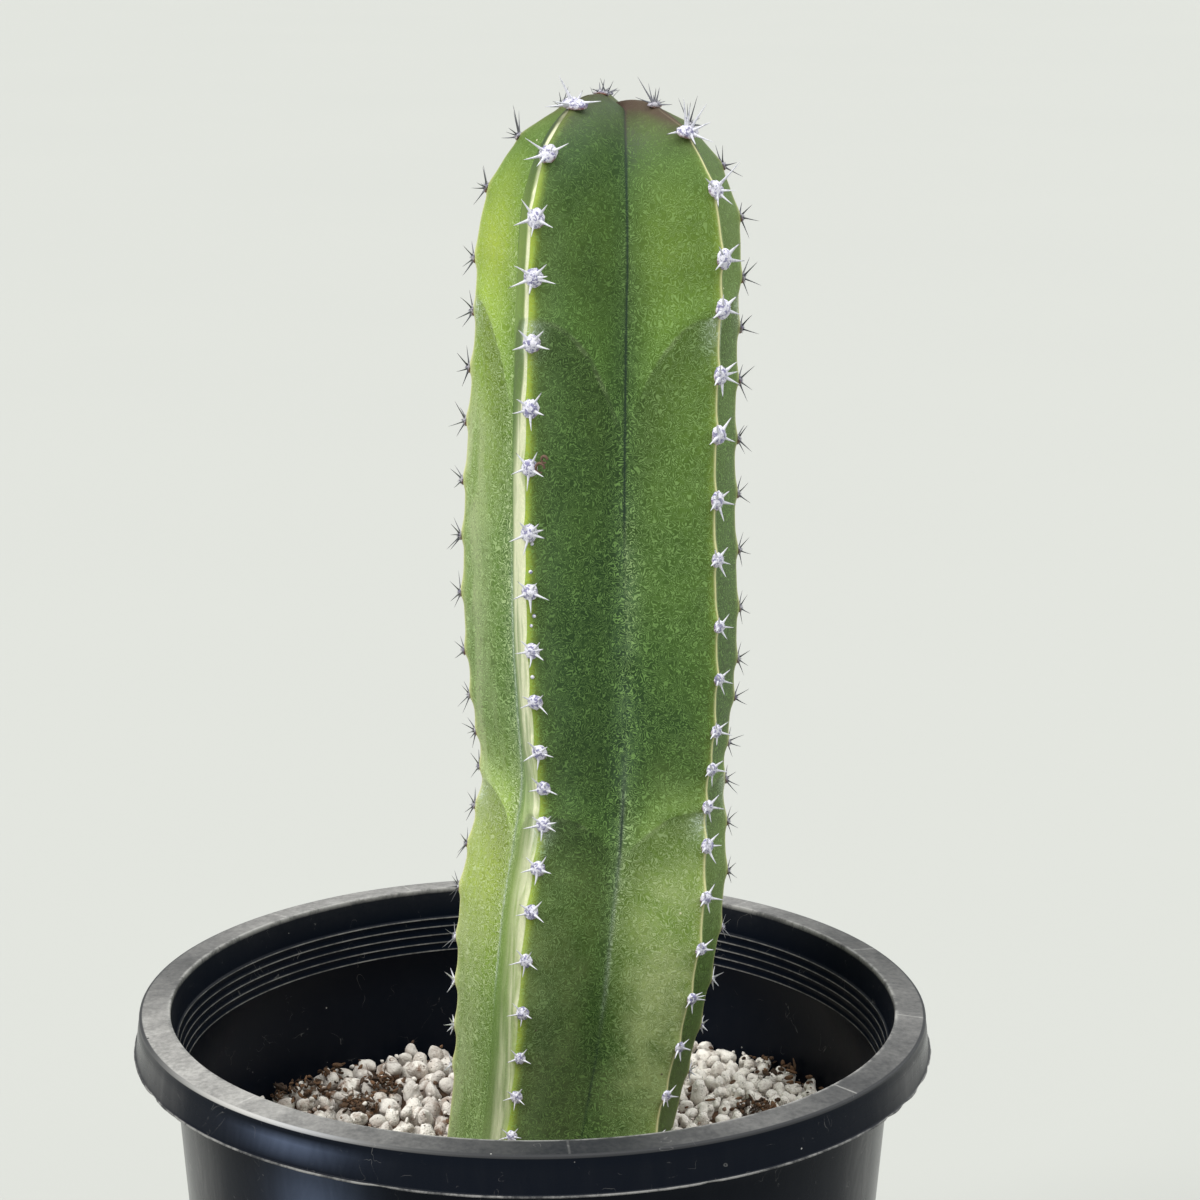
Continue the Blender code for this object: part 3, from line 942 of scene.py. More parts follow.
    def wear_and_light(self, bearing: float) -> dict[str, float]:
        """Give how strong the marks are at a bearing. Painted light is among them: dust stronger on the
        lip's sides where light falls, smudges rising into a painted reflection at the skirt's sides, and
        sheen and glint as painted highlights.

        Args:
            bearing: The bearing.

        Returns:
            The strength of those that change, beside that of the outline's point.
        """
        shares = [share * peak(apart(bearing, patchy), width) for patchy, share, width in self.patchy]
        start, end = (step_up(abs(bearing), *ends) for ends in (self.reflection_start, self.reflection_end))
        return {
            "dust_and_light": max(self.least_dust_and_light, *shares),
            "smudge_and_reflection": 0.05 + 0.95 * start * (1.0 - 0.8 * end),
            "painted_highlight": peak(bearing - self.painted_highlight_bearing, self.painted_highlight_width),
            "painted_glint": 0.06 + 0.60 * peak(bearing - self.painted_glint_bearing, self.painted_glint_width),
        }

    def moulded(
        self, radius: float, height: float, bearing: float, marks: dict[str, float]
    ) -> tuple[Vector, float]:
        """Place a point of the outline, with the unevenness of the moulding.

        Args:
            radius: The point's distance from the axis.
            height: Its height.
            bearing: Its bearing.
            marks: The marks of the outline there.

        Returns:
            The point, and how far it is on a moulding scar, from 0 to 1.
        """
        way = towards(bearing)
        dent = lumps(way * 0.9 + lift(height * 9.0), 0.5, 3.0)
        out = radius + self.dent_depth * dent
        up = height + self.rim_wave * lumps(way, 0.6, 8.0) * step_up(height, 0.15, 0.2)
        if marks.get("flash"):
            nicks = enumerate(self.nick_bearings)
            nick = max(peak(bearing - other, 0.8 + 0.5 * (rank % 3)) for rank, other in nicks)
            ragged = 0.35 + 0.65 * abs(lumps(way, 0.05, 5.0)) + 0.25 * lumps(way, 0.012, 2.0)
            out -= self.flash_width * min(0.8, 0.7 * nick + 0.5 * (1 - ragged))
            up += self.nick_lift * nick
        scar = 0.0
        if marks.get("dust_and_light", 0.0) > 0.9:
            away = min(apart(bearing, other) for other in self.scar_bearings)
            scar = peak(radians(away), self.scar_width / self.rim_radius / 2)
            up += self.scar_proud * scar
        return way * out + lift(up), scar

    def add_floor(
        self, points: list[Vector], faces: list[Sequence[int]], under: list[int], inside: list[int]
    ) -> None:
        """Close the pot's floor, below and above, round its drain holes.

        Args:
            points: The pot's points, which the holes' edges are added to.
            faces: Its faces, which the floor's are added to.
            under: Numbers of the points round the floor's underside.
            inside: Numbers of the points round its upper side.
        """
        rings: tuple[list[list[int]], list[list[int]]] = ([], [])
        for hole in range(self.hole_count):
            middle = towards(360.0 * (hole + 0.5) / self.hole_count) * self.hole_circle
            for ring, height in zip(rings, (self.foot_height, self.floor())):
                start = len(points)
                for side in range(self.hole_sides):
                    edge = towards(360.0 * side / self.hole_sides) * self.hole_radius
                    points.append(middle + edge + lift(height))
                ring.append(list(range(start, start + self.hole_sides)))
            low, high = rings[0][-1], rings[1][-1]
            after, above = low[1:] + low[:1], high[1:] + high[:1]
            faces += [(b, a, c, d) for a, b, c, d in zip(low, after, high, above)]
        for outer, holes, flipped in ((under, rings[0], True), (inside, rings[1], False)):
            loops = [outer] + holes
            order = [index for loop in loops for index in loop]
            flat = [[Vector((points[index].x, points[index].y, 0.0)) for index in loop] for loop in loops]
            for face in tessellate_polygon(flat):
                corners = [order[corner] for corner in face]
                a, b, c = (points[corner] for corner in corners)
                upward = (b - a).cross(c - a).z > 0
                faces.append(tuple(corners if upward != flipped else reversed(corners)))

    def build(self) -> Thing:
        """Build the pot.

        Returns:
            The piece.
        """
        outline, bearings = self.rounded(self.corners()), self.bearings()
        points: list[Vector] = []
        marks: dict[str, list[float]] = {name: [] for name in self.mark_names}
        wear_and_light = {bearing: self.wear_and_light(bearing) for bearing in bearings}
        for radius, height, row_marks in outline:
            for bearing in bearings:
                point, scar = self.moulded(radius, height, bearing, row_marks)
                points.append(point)
                for name, values in marks.items():
                    extra = self.scar_scuff * scar if name == "scuff" else 0.0
                    values.append(row_marks.get(name, 0.0) * wear_and_light[bearing].get(name, 1.0) + extra)
        count, shell = len(bearings), len(points)
        faces = quads(len(outline), count)
        self.add_floor(points, faces, list(range(count)), list(range(shell - count, shell)))
        blank = [0.0] * (len(points) - shell)
        draft = Draft()
        draft.add(points, faces, **{name: values + blank for name, values in marks.items()})
        return draft.piece("pot_shell", PlasticFinish().material(), Slot.PLASTIC, "pot")


@dataclass(frozen=True)
class FlankLook:
    """How one flank of a rib looks: its greenness, and what is added at the crown and at the belly. Its
    tone is partly the flank's own green and partly painted light, lighter on flanks that face the light and
    darker on those turned from it.
    """

    tone: float
    crown: float = 0.4
    belly: float = 0.4
    band: float = 0.45
    lime: float = 0.3
    # Cream strip beside the crest: partly its own colour, partly a painted highlight.
    cream_and_highlight: float = 0.0
    wax: float = 0.0
    dusk: float = 0.0
    umber: float = 0.35
    line: float = 0.8
    line_width: float = 0.0006
    pale: float = 0.0
    valley: float = 0.0
    # Strength of the painted shade in the groove's crease.
    seam: float = 1.0
    blend: float = 0.0
    curls: float = 1.0
    # Below 0, painted shade over the flank's upper part.
    upper: float = 0.0
    # Painted shade beside the groove, near the top of the flank.
    hollow: float = 0.0


@dataclass(frozen=True)
class Areole:
    """A felted spot on a crest, with its size, place and directions across, along and out of the crest."""

    rib: int
    rank: int
    level: float
    size: float
    crest: Vector
    place: Vector
    across: Vector
    along: Vector
    outward: Vector


@dataclass
class Stem:
    """The five ribbed column, its crests swollen at the areoles and its skin marked where growth paused."""

    rim_height: float = 0.2
    rib_bearings: Row = (-103.0, -31.0, 46.5, 113.0, 185.0)
    rib_reaches: Rows = (
        (-0.020, 1.000, 0.985, 0.950, 1.045, 1.000),
        (0.070, 0.995, 1.000, 1.005, 1.000, 1.000),
        (0.150, 0.985, 1.020, 1.005, 1.000, 1.000),
        (0.220, 0.915, 1.030, 1.010, 0.995, 1.000),
    )
    rib_rise: Row = (0.048, 0.051, 0.049, 0.048, 0.049)
    rib_squareness: Row = (2.0, 2.4, 2.4, 2.0, 2.2)
    groove_bearings: Row = (-70.0, 12.0, 80.0, 149.0, 221.0)
    groove_reach: float = 0.61
    groove_rise: float = 0.0465
    groove_squareness: float = 2.5
    groove_shifts: Rows = (
        (-0.030, -0.0033, -0.0013), (0.000, -0.0035, -0.0013), (0.030, -0.0026, -0.0016),
        (0.060, -0.0024, -0.0011), (0.100, -0.0020, -0.0007), (0.150, -0.0015, 0.0000),
        (0.200, -0.0015, -0.0002), (0.238, -0.0012, -0.0007), (0.538, -0.0006, -0.0006),
        (0.738, 0.0000, 0.0001), (0.938, 0.0000, 0.0013), (1.088, 0.0000, 0.0026),
        (1.168, 0.0000, 0.0025), (1.238, 0.0000, 0.0000),
    )
    flank_bulge: float = 0.055
    dimple_reach: float = 0.3
    stations: Rows = (
        (-0.060, 0.0075, 0.0375), (-0.030, 0.0123, 0.0390), (-0.007, 0.0157, 0.0413),
        (0.015, 0.0182, 0.0436), (0.036, 0.0201, 0.0443), (0.056, 0.0219, 0.0423),
        (0.075, 0.0230, 0.0405), (0.098, 0.0229, 0.0435), (0.124, 0.0221, 0.0454),
        (0.160, 0.0212, 0.0450), (0.200, 0.0214, 0.0447), (0.238, 0.0222, 0.0446),
    )
    base: float = -0.095
    base_rounding: float = 0.03
    base_flat: float = 0.35
    buried: float = -0.056
    ring_pitch: float = 0.00145
    buried_pitch: float = 0.005
    dome_rings: int = 46
    flank_steps: int = 20
    edge_crowding: float = 0.78
    crest_rounding: float = 0.0032
    crest_cut: float = 0.354
    valley_rounding: Rows = ((-0.040, 0.0080), (0.050, 0.0090), (0.110, 0.0050), (0.238, 0.0034))
    valley_fill: float = 0.19
    swell_height: float = 0.0011
    swell_above: float = 0.0044
    swell_below: float = 0.0022
    swell_across: float = 0.0034
    arches: Rows = ((0.2255, 0.1870), (0.0720, 0.0540))
    arch_power: float = 2.4
    arch_span: float = 0.0275
    ledge_height: float = 0.0004
    ledge_dip: float = 0.0003
    crease_level: float = 0.078
    crease_depth: float = 0.00022
    areole_lowest: float = -0.046
    areole_spacings: Rows = (
        (-0.060, 0.0125), (-0.018, 0.0145), (0.010, 0.0165), (0.030, 0.0171),
        (0.048, 0.0160), (0.061, 0.0142), (0.073, 0.0117), (0.084, 0.0124),
        (0.100, 0.0142), (0.130, 0.0172), (0.150, 0.0186), (0.238, 0.0192),
    )
    areole_first: Row = (0.016, 0.006, 0.019, 0.012, 0.010)
    areole_apex_spacing: float = 0.0158
    areole_lifts: Rows = (
        (-0.035, 0.015, 0.006, 0.000, 0.004), (0.010, 0.012, 0.004, 0.002, 0.009),
        (0.080, 0.007, 0.002, 0.004, 0.012), (0.150, 0.008, 0.002, 0.006, 0.014),
        (0.210, 0.004, 0.001, 0.006, 0.010), (0.236, 0.001, 0.000, 0.007, 0.007),
        (0.300, 0.012, 0.000, 0.030, 0.059), (0.500, 0.028, -0.008, 0.061, 0.044),
        (0.750, 0.035, -0.014, 0.057, 0.026), (1.000, 0.020, 0.015, 0.030, 0.000),
        (1.160, 0.020, 0.028, 0.030, 0.000),
    )
    crest_step: float = 0.002
    areole_sizes: Rows = (
        (-0.050, 0.0017), (0.000, 0.0019), (0.030, 0.0021), (0.060, 0.0023),
        (0.100, 0.0023), (0.150, 0.0025), (0.190, 0.0027), (0.238, 0.0028),
    )
    areole_shifts: Row = (0.0, 0.0016, 0.0, 0.0, 0.0)
    lean_angle: float = 16.0
    lean_shift: float = 0.0016
    slight_rib: int = 2
    slight_level: float = 0.118
    crown: Rows = ((0.150, 0.0), (0.190, 0.32), (0.217, 0.50), (0.240, 0.90), (0.262, 1.0))
    # Painted light over the flanks' own greens: flanks that face the light get a higher tone, and those
    # turned from it a lower one.
    looks: dict[tuple[int, Side], FlankLook] = field(default_factory=lambda: {
        (0, Side.LEFT): FlankLook(0.50, line_width=0.0018),
        (0, Side.RIGHT): FlankLook(
            0.69, 0.26, 0.68, 0.5, 0.84, 0.25,
            line_width=0.0018, pale=0.28, valley=0.55, seam=0.1, curls=1.5,
        ),
        (1, Side.LEFT): FlankLook(
            0.66, 0.15, 0.30, 0.3, 0.30, 0.95,
            line=0.0, valley=0.55, seam=0.1, curls=0.8, upper=-0.44,
        ),
        (1, Side.RIGHT): FlankLook(0.06, 0.10, 0.10, 0.72, 0.06, wax=0.30, line=0.0, pale=0.25, curls=1.15),
        (2, Side.LEFT): FlankLook(
            0.31, 0.16, 0.50, 0.28, 0.14,
            umber=0.8, line=0.95, pale=0.74, blend=-0.26, curls=1.15, hollow=0.26,
        ),
        (2, Side.RIGHT): FlankLook(0.02, 0.20, 0.20, 0.12, 0.08, dusk=0.16, umber=0.8, line_width=0.0004),
        (3, Side.LEFT): FlankLook(0.16, 0.25, 0.25, 0.2, 0.10, dusk=0.32, line_width=0.0018),
        (3, Side.RIGHT): FlankLook(0.40, dusk=0.2, line_width=0.0018),
        (4, Side.LEFT): FlankLook(0.26, wax=0.4),
        (4, Side.RIGHT): FlankLook(0.42, lime=0.4),
    })
    areoles: list[Areole] = field(default_factory=list)

    def __post_init__(self) -> None:
        """Find the areoles, which the crests swell round."""
        for rib in range(len(self.rib_bearings)):
            levels = self.areole_levels(rib)
            self.areoles += [self.areole(rib, rank, level) for rank, level in enumerate(levels)]

    def dome(self) -> float:
        """Give the level at which the stem starts to round over."""
        return self.stations[-1][0]

    def middle(self, level: float) -> float:
        """Give how far the stem's middle lies towards +X at a level."""
        return column_at(self.stations, level)

    def turn(self, level: float) -> float:
        """Give how far the dome has turned over at a level, from 0 to a quarter turn."""
        return min(max(0.0, level - self.dome()), 1.0) * pi / 2

    def line_point(self, bearing: float, reach: float, level: float, dome: Sequence[float]) -> Vector:
        """Find a point of a crest or a groove.

        Args:
            bearing: The line's bearing.
            reach: Its distance from the middle, beside that of the crests.
            level: The level on the stem.
            dome: The rise and the squareness of the line's dome, and the depth of its dimple.

        Returns:
            The point.
        """
        rise, squareness, dimple = dome
        middle, radius = curve_at(self.stations, level)
        radius *= reach
        height = min(level, self.dome())
        if level < self.base + self.base_rounding:
            drop = 1.0 - (level - self.base) / self.base_rounding
            radius *= self.base_flat + (1.0 - self.base_flat) * sqrt(max(0.0, 1.0 - drop**2))
        turn = self.turn(level)
        shrink = max(0.0, cos(turn)) ** (2 / squareness)
        height += rise * sin(turn) ** (2 / squareness)
        height -= dimple * max(0.0, 1.0 - shrink / self.dimple_reach) ** 2
        return Vector((middle, 0.0, self.rim_height + height)) + towards(bearing) * radius * shrink

    def crest(self, rib: int, level: float) -> Vector:
        """Find a point on a rib's crest."""
        dome = (self.rib_rise[rib], self.rib_squareness[rib], self.rib_rise[rib] - self.groove_rise)
        return self.line_point(self.rib_bearings[rib], column_at(self.rib_reaches, level, rib), level, dome)

    def groove(self, rib: int, level: float) -> Vector:
        """Find a point at the bottom of a groove.

        Args:
            rib: The rib before the groove.
            level: The level.

        Returns:
            The point.
        """
        dome = (self.groove_rise, self.groove_squareness, 0.0)
        point = self.line_point(self.groove_bearings[rib], self.groove_reach, level, dome)
        return point + Vector((column_at(self.groove_shifts, level, rib), 0.0, 0.0))

    def outward(self, rib: int, level: float) -> tuple[Vector, Vector, Vector]:
        """Give the directions of a crest at a level.

        Args:
            rib: The crest's rib.
            level: The level.

        Returns:
            The unit vectors across, along and out of it.
        """
        upward = self.crest(rib, level + self.crest_step) - self.crest(rib, level - self.crest_step)
        across = towards(self.rib_bearings[rib] + 90.0)
        out = across.cross(upward).normalized()
        return across, out.cross(across), out

    def areole_levels(self, rib: int) -> list[float]:
        """Step down a crest from near the apex, from areole to areole.

        Args:
            rib: The crest's rib.

        Returns:
            The levels of its areoles.
        """
        levels: list[float] = []
        level = self.dome() + 1.0
        travelled, wanted = 0.0, self.areole_first[rib]
        here = self.crest(rib, level)
        while level > self.areole_lowest:
            if level > self.dome():
                level = max(level - self.crest_step / self.rib_rise[rib], self.dome())
            else:
                level -= self.crest_step
            there = self.crest(rib, level)
            travelled += (there - here).length
            here = there
            if travelled >= wanted and level > self.areole_lowest:
                travelled -= wanted
                wanted = column_at(self.areole_spacings, level) if levels else self.areole_apex_spacing
                levels.append(level)
        return [level + column_at(self.areole_lifts, level, rib) for level in levels]

    def areole(self, rib: int, rank: int, level: float) -> Areole:
        """Place an areole on a crest, on top of the swelling that it causes.

        Args:
            rib: The rib that it is on.
            rank: Its number from the apex down.
            level: Its level.

        Returns:
            The areole.
        """
        crest = self.crest(rib, level)
        across, along, out = self.outward(rib, level)
        size = column_at(self.areole_sizes, level)
        if rib == self.slight_rib:
            size *= 1.0 - 0.18 * peak(level - self.slight_level, 0.035)
        shift = self.areole_shifts[rib] * cos(self.turn(level))
        lean = radians(self.lean_angle) * shift / self.lean_shift
        place = crest + across * shift + out * (self.swell_height - 0.0003 - 0.22 * abs(shift))
        turned = across * cos(lean) - out * sin(lean)
        return Areole(rib, rank, level, size, crest, place, turned, along, turned.cross(along))

    def swelling(self, rib: int, level: float) -> float:
        """Give how far a crest swells out for the areoles near a level.

        Args:
            rib: The crest's rib.
            level: The level.

        Returns:
            The height of the swelling.
        """
        here = self.crest(rib, level)
        total = 0.0
        for areole in self.areoles:
            if areole.rib == rib:
                spread = self.swell_above if level > areole.level else self.swell_below
                total = max(total, peak((here - areole.crest).length, spread))
        return self.swell_height * total

    def flank(
        self, rib: int, groove: int, side: Side, level: float, steps: Array
    ) -> tuple[Array, dict[str, Array]]:
        """Span a flank at a level.

        Args:
            rib: The rib that it belongs to.
            groove: The groove that it runs down to.
            side: Which flank of the rib it is.
            level: The level on the stem.
            steps: Where its points lie between the crest, 0, and the groove, 1.

        Returns:
            The points, and their marks by name.
        """
        crest, bottom = self.crest(rib, level), self.groove(groove, level)
        along = bottom - crest
        length = along.length
        turn = self.turn(level)
        middle = Vector((self.middle(level), 0.0, 0.0))
        normal = Vector((along.y, -along.x, 0.0)).normalized()
        if normal.dot(crest + bottom - 2 * middle) < 0:
            normal = -normal
        normal = normal * cos(turn) + lift(sin(turn))
        _, _, out = self.outward(rib, level)
        t = np.asarray(steps)[:, None]
        far, near = t * length, length - t * length
        rounding = min(self.crest_rounding, 0.3 * length)
        valley = min(column_at(self.valley_rounding, level), 0.4 * length)
        cut = self.crest_cut * rounding
        lowered = cut * np.square(np.clip(1.0 - far / max(rounding, TINY), 0.0, 1.0))
        kept = cut * (1.0 - t)
        raised = self.valley_fill * valley * np.square(np.clip(1.0 - near / max(valley, TINY), 0.0, 1.0))
        swell = self.swelling(rib, level) * peak(far, self.swell_across) * cos(turn) ** 0.25
        bulge = self.flank_bulge * length * np.sin(pi * t)
        points = np.array(crest) + np.array(along) * t
        points = points + np.array(normal) * (bulge + self.arch_relief(level, t))
        points = points + np.array(out) * (kept - lowered + swell)
        points = points + np.array(towards(self.groove_bearings[groove])) * raised * cos(turn)
        self.roughen(points, np.array(normal), t[:, 0], level)
        return points, self.paint(rib, side, level, t[:, 0], length)

    def past_arch(self, arch: int, level: float, t: Array) -> Array:
        """Give how far points lie above the line where growth once paused.

        Args:
            arch: Which line.
            level: The points' level.
            t: Where they lie between the crest, 0, and the groove, 1.

        Returns:
            The distance from the line, less than 0 below it.
        """
        crest_level, groove_level = self.arches[arch]
        drop = groove_level - crest_level
        kept = np.clip(t, TINY, 1.0)
        slope = self.arch_power * kept ** (self.arch_power - 1.0) * drop / self.arch_span
        return (level - crest_level - drop * kept**self.arch_power) / np.sqrt(1.0 + slope**2)

    def arch_relief(self, level: float, t: Array) -> Array:
        """Give the height of the low ledges where growth paused.

        Args:
            level: The points' level.
            t: Where they lie between the crest, 0, and the groove, 1.

        Returns:
            The height above the plain flank.
        """
        total = np.zeros_like(t)
        for arch in range(len(self.arches)):
            past = self.past_arch(arch, level, t)
            total = total + self.ledge_height * (step_up(past, -0.0010, 0.0012) - step_up(past, 0.0, 0.012))
            total = total - self.ledge_dip * peak(past + 0.0006, 0.0012)
        return total * np.sin(pi * np.clip(t, 0.0, 1.0)) ** 0.5

    def roughen(self, points: Array, normal: Array, t: Array, level: float) -> None:
        """Make a row of points uneven, with creases across it at the waist.

        Args:
            points: The points, which are moved.
            normal: The direction out of the flank.
            t: Where they lie between the crest, 0, and the groove, 1.
            level: Their level.
        """
        creased = peak(level - self.crease_level, 0.030)
        for index, point in enumerate(points):
            broad = 0.00030 * lumps(point, 0.022, 4.0) + 0.00010 * lumps(point, 0.006, 9.0)
            squashed = (point[0] * 0.25, point[1] * 0.25, point[2])
            crease = self.crease_depth * creased * lumps(squashed, 0.0035, 6.0)
            fade = sin(pi * min(1.0, t[index] + 0.12)) ** 0.5
            points[index] = point + normal * (broad + crease) * fade

    def paint(self, rib: int, side: Side, level: float, t: Array, length: float) -> dict[str, Array]:
        """Mark a row of points for the skin's finish.

        Args:
            rib: The rib that they are on.
            side: The flank that they are on.
            level: Their level.
            t: Where they lie between the crest, 0, and the groove, 1.
            length: The distance from the crest to the groove.

        Returns:
            A value for each point, by the mark's name.
        """
        look = self.looks[rib, side]
        far, near = t * length, (1.0 - t) * length
        turned = self.turn(level) / (pi / 2)
        crown = column_at(self.crown, min(level, self.dome() + 0.03))
        belly = peak(level - 0.043, 0.028)
        waist = peak(level - 0.098, 0.030)
        foot = 1.0 - step_up(level, -0.040, 0.012)
        dome_top = step_up(turned, 0.55, 0.95)
        centre = np.sin(pi * np.clip(t, 0.0, 1.0))
        past = [self.past_arch(arch, level, t) for arch in range(len(self.arches))]
        under = sum(step_up(-p, -0.0002, 0.0012) * peak(np.maximum(-p, 0.0), 0.0090) for p in past)
        young = step_up(past[0], -0.001, 0.004)
        tone = look.tone + look.crown * crown + look.belly * belly - 0.20 * waist - 0.12 * foot
        # Painted shade over the dome: tone and lime are taken away as it turns over, more on flanks with a
        # valley.
        domed = step_up(turned, 0.04, 0.55)
        tone = tone - 0.35 * dome_top * (1.0 - centre)
        # Painted shade: a flank with upper below 0 is darker in its upper part, on its shadow side.
        tone = tone + look.upper * step_up(level, 0.155, 0.20) - (0.26 + 0.45 * look.valley) * domed
        tone = tone + look.blend * peak(near, 0.009) * (1.0 - step_up(level, 0.09, 0.15))
        # Painted shade: darker beside the groove near the top, by hollow.
        tone = tone - look.hollow * peak(near, 0.005) * step_up(level, 0.150, 0.180)
        edge = 0.0036 + 0.0008 * lumps((level, 0.3 * rib, 0.0), 0.012)
        band = step_up(-far, -edge, -edge + 0.0030) * (1.0 - 0.35 * waist) + 0.20 * peak(far, 0.006)
        lime = look.band * band * (1.0 + 0.15 * step_up(level, 0.17, 0.21))
        lime = lime + look.lime * (crown * (0.4 + 0.6 * centre) + 0.9 * belly)
        lime = lime * (1.0 - 0.5 * look.valley * peak(near, 0.006))
        # The dome's painted shade takes the lime away too.
        lime = lime * (1.0 - (0.75 + 0.30 * look.valley) * domed)
        fade = 1.0 - dome_top
        pale = 1.0 - step_up(turned, 0.4, 0.8)
        strip = 0.70 + 0.30 * step_up(level, 0.045, 0.100)
        strip = strip + 0.70 * look.cream_and_highlight * step_up(level, 0.110, 0.140)
        spread = 0.0012 + 0.0128 * (1.0 - step_up(level, 0.176, 0.212))
        # Cream strip by the crest, wider lower down: partly its own colour, partly a painted highlight.
        cream_and_highlight = look.cream_and_highlight * pale * strip * peak(np.maximum(far - 0.0008, 0.0), spread)
        halo = 1.0 - 0.65 * step_up(level, 0.145, 0.185)
        halo = halo * peak(near, 0.0042) * step_up(level, 0.0, 0.06) * (1.0 - turned)
        bloom = 0.75 * under * peak(far - 0.002, 0.0028)
        top = 0.070 + 0.12 * look.valley
        shown = step_up(level, -0.005, 0.02) * (1.0 - step_up(level, top, top + 0.025))
        bloom = bloom + (0.35 + 0.5 * look.valley) * peak(near, 0.0008) * shown
        # Painted shade in the groove's crease, strongest near the top.
        seam = 0.9 * step_up(level, 0.145, 0.172) + 0.75 * peak(level - 0.066, 0.013)
        seam = 0.22 + seam + 0.45 * peak(level + 0.018, 0.014)
        curls = 0.44 - (0.10 + 0.15 * look.valley) * young
        curls = look.curls * (curls + 0.10 * under + 0.45 * halo)
        umber = look.umber * step_up(turned, 0.38, 0.80) * (0.55 + peak(far, 0.006))
        pale_foot = np.clip(look.pale * peak(level - 0.012, 0.048), 0.0, 0.9)
        return {
            "tone": np.clip(tone, 0.0, 1.15),
            "lime": np.clip(lime * fade, 0.0, 0.95),
            "cream_and_highlight": np.clip(cream_and_highlight, 0.0, 1.5),
            "wax": np.clip(look.wax * peak(far - 0.006, 0.006) + 0.6 * halo, 0.0, 1.0),
            "dusk": np.clip(look.dusk + (0.45 - 0.6 * look.pale) * foot, 0.0, 0.9) * np.ones_like(t),
            "pale": pale_foot * (1.0 - 0.8 * peak(near, 0.009)),
            "curls": np.clip(curls, 0.0, 0.9) * (1.0 - 0.8 * turned),
            "bloom": np.clip(bloom, 0.0, 0.8),
            "rim": np.clip(1.3 * centre, 0.0, 1.0),
            "past": past[0] if level > 0.14 else past[1],
            "seam": look.seam * np.clip(seam, 0.0, 0.95) * peak(near, 0.00045),
            "line": look.line * fade * peak(far, look.line_width),
            "umber": np.clip(umber, 0.0, 0.85),
        }

    def levels(self) -> list[float]:
        """List the levels of the skin's rings.

        Returns:
            The levels, from the base to just below the apex.
        """
        deep = round((self.buried - self.base) / self.buried_pitch)
        shown = round((self.dome() - self.buried) / self.ring_pitch)
        levels = [self.base + (self.buried - self.base) * ring / deep for ring in range(deep)]
        levels += [self.buried + (self.dome() - self.buried) * ring / shown for ring in range(shown)]
        return levels + [self.dome() + ring / self.dome_rings for ring in range(self.dome_rings)]

    def outline(self, level: float) -> Array:
        """Give the stem's plain outline at a level.

        Args:
            level: The level.

        Returns:
            Its points, counted from the first crest.
        """
        ring = []
        ribs = len(self.rib_bearings)
        for rib in range(ribs):
            crest, groove = self.crest(rib, level), self.groove(rib, level)
            following = self.crest((rib + 1) % ribs, level)
            ring += [crest.lerp(groove, part / 5) for part in range(5)]
            ring += [groove.lerp(following, part / 5) for part in range(5)]
        return np.array(ring)

    def build(self) -> Thing:
        """Build the stem's skin.

        Returns:
            The piece.
        """
        even = np.arange(self.flank_steps + 1) / self.flank_steps
        steps = even - self.edge_crowding * np.sin(2 * pi * even) / (2 * pi)
        points: list[Array] = []
        marks: dict[str, list[Array]] = {}
        levels, ribs = self.levels(), len(self.rib_bearings)
        for level in levels:
            for rib in range(ribs):
                after = (rib + 1) % ribs
                right, right_marks = self.flank(rib, rib, Side.RIGHT, level, steps)
                left, left_marks = self.flank(after, rib, Side.LEFT, level, steps)
                points += [right[:-1], left[:0:-1]]
                for name, values in right_marks.items():
                    marks.setdefault(name, []).extend((values[:-1], left_marks[name][:0:-1]))
        apex = self.groove(0, self.dome() + 1.0)
        rows = np.concatenate(points + [np.array([apex])])
        draft = Draft()
        draft.add(rows, tube(len(levels), 2 * ribs * self.flank_steps, True), **{
            name: np.append(np.concatenate(values), values[-1][-1]) for name, values in marks.items()
        })
        return draft.piece("stem_skin", SkinFinish().material(), Slot.SKIN, "stem")


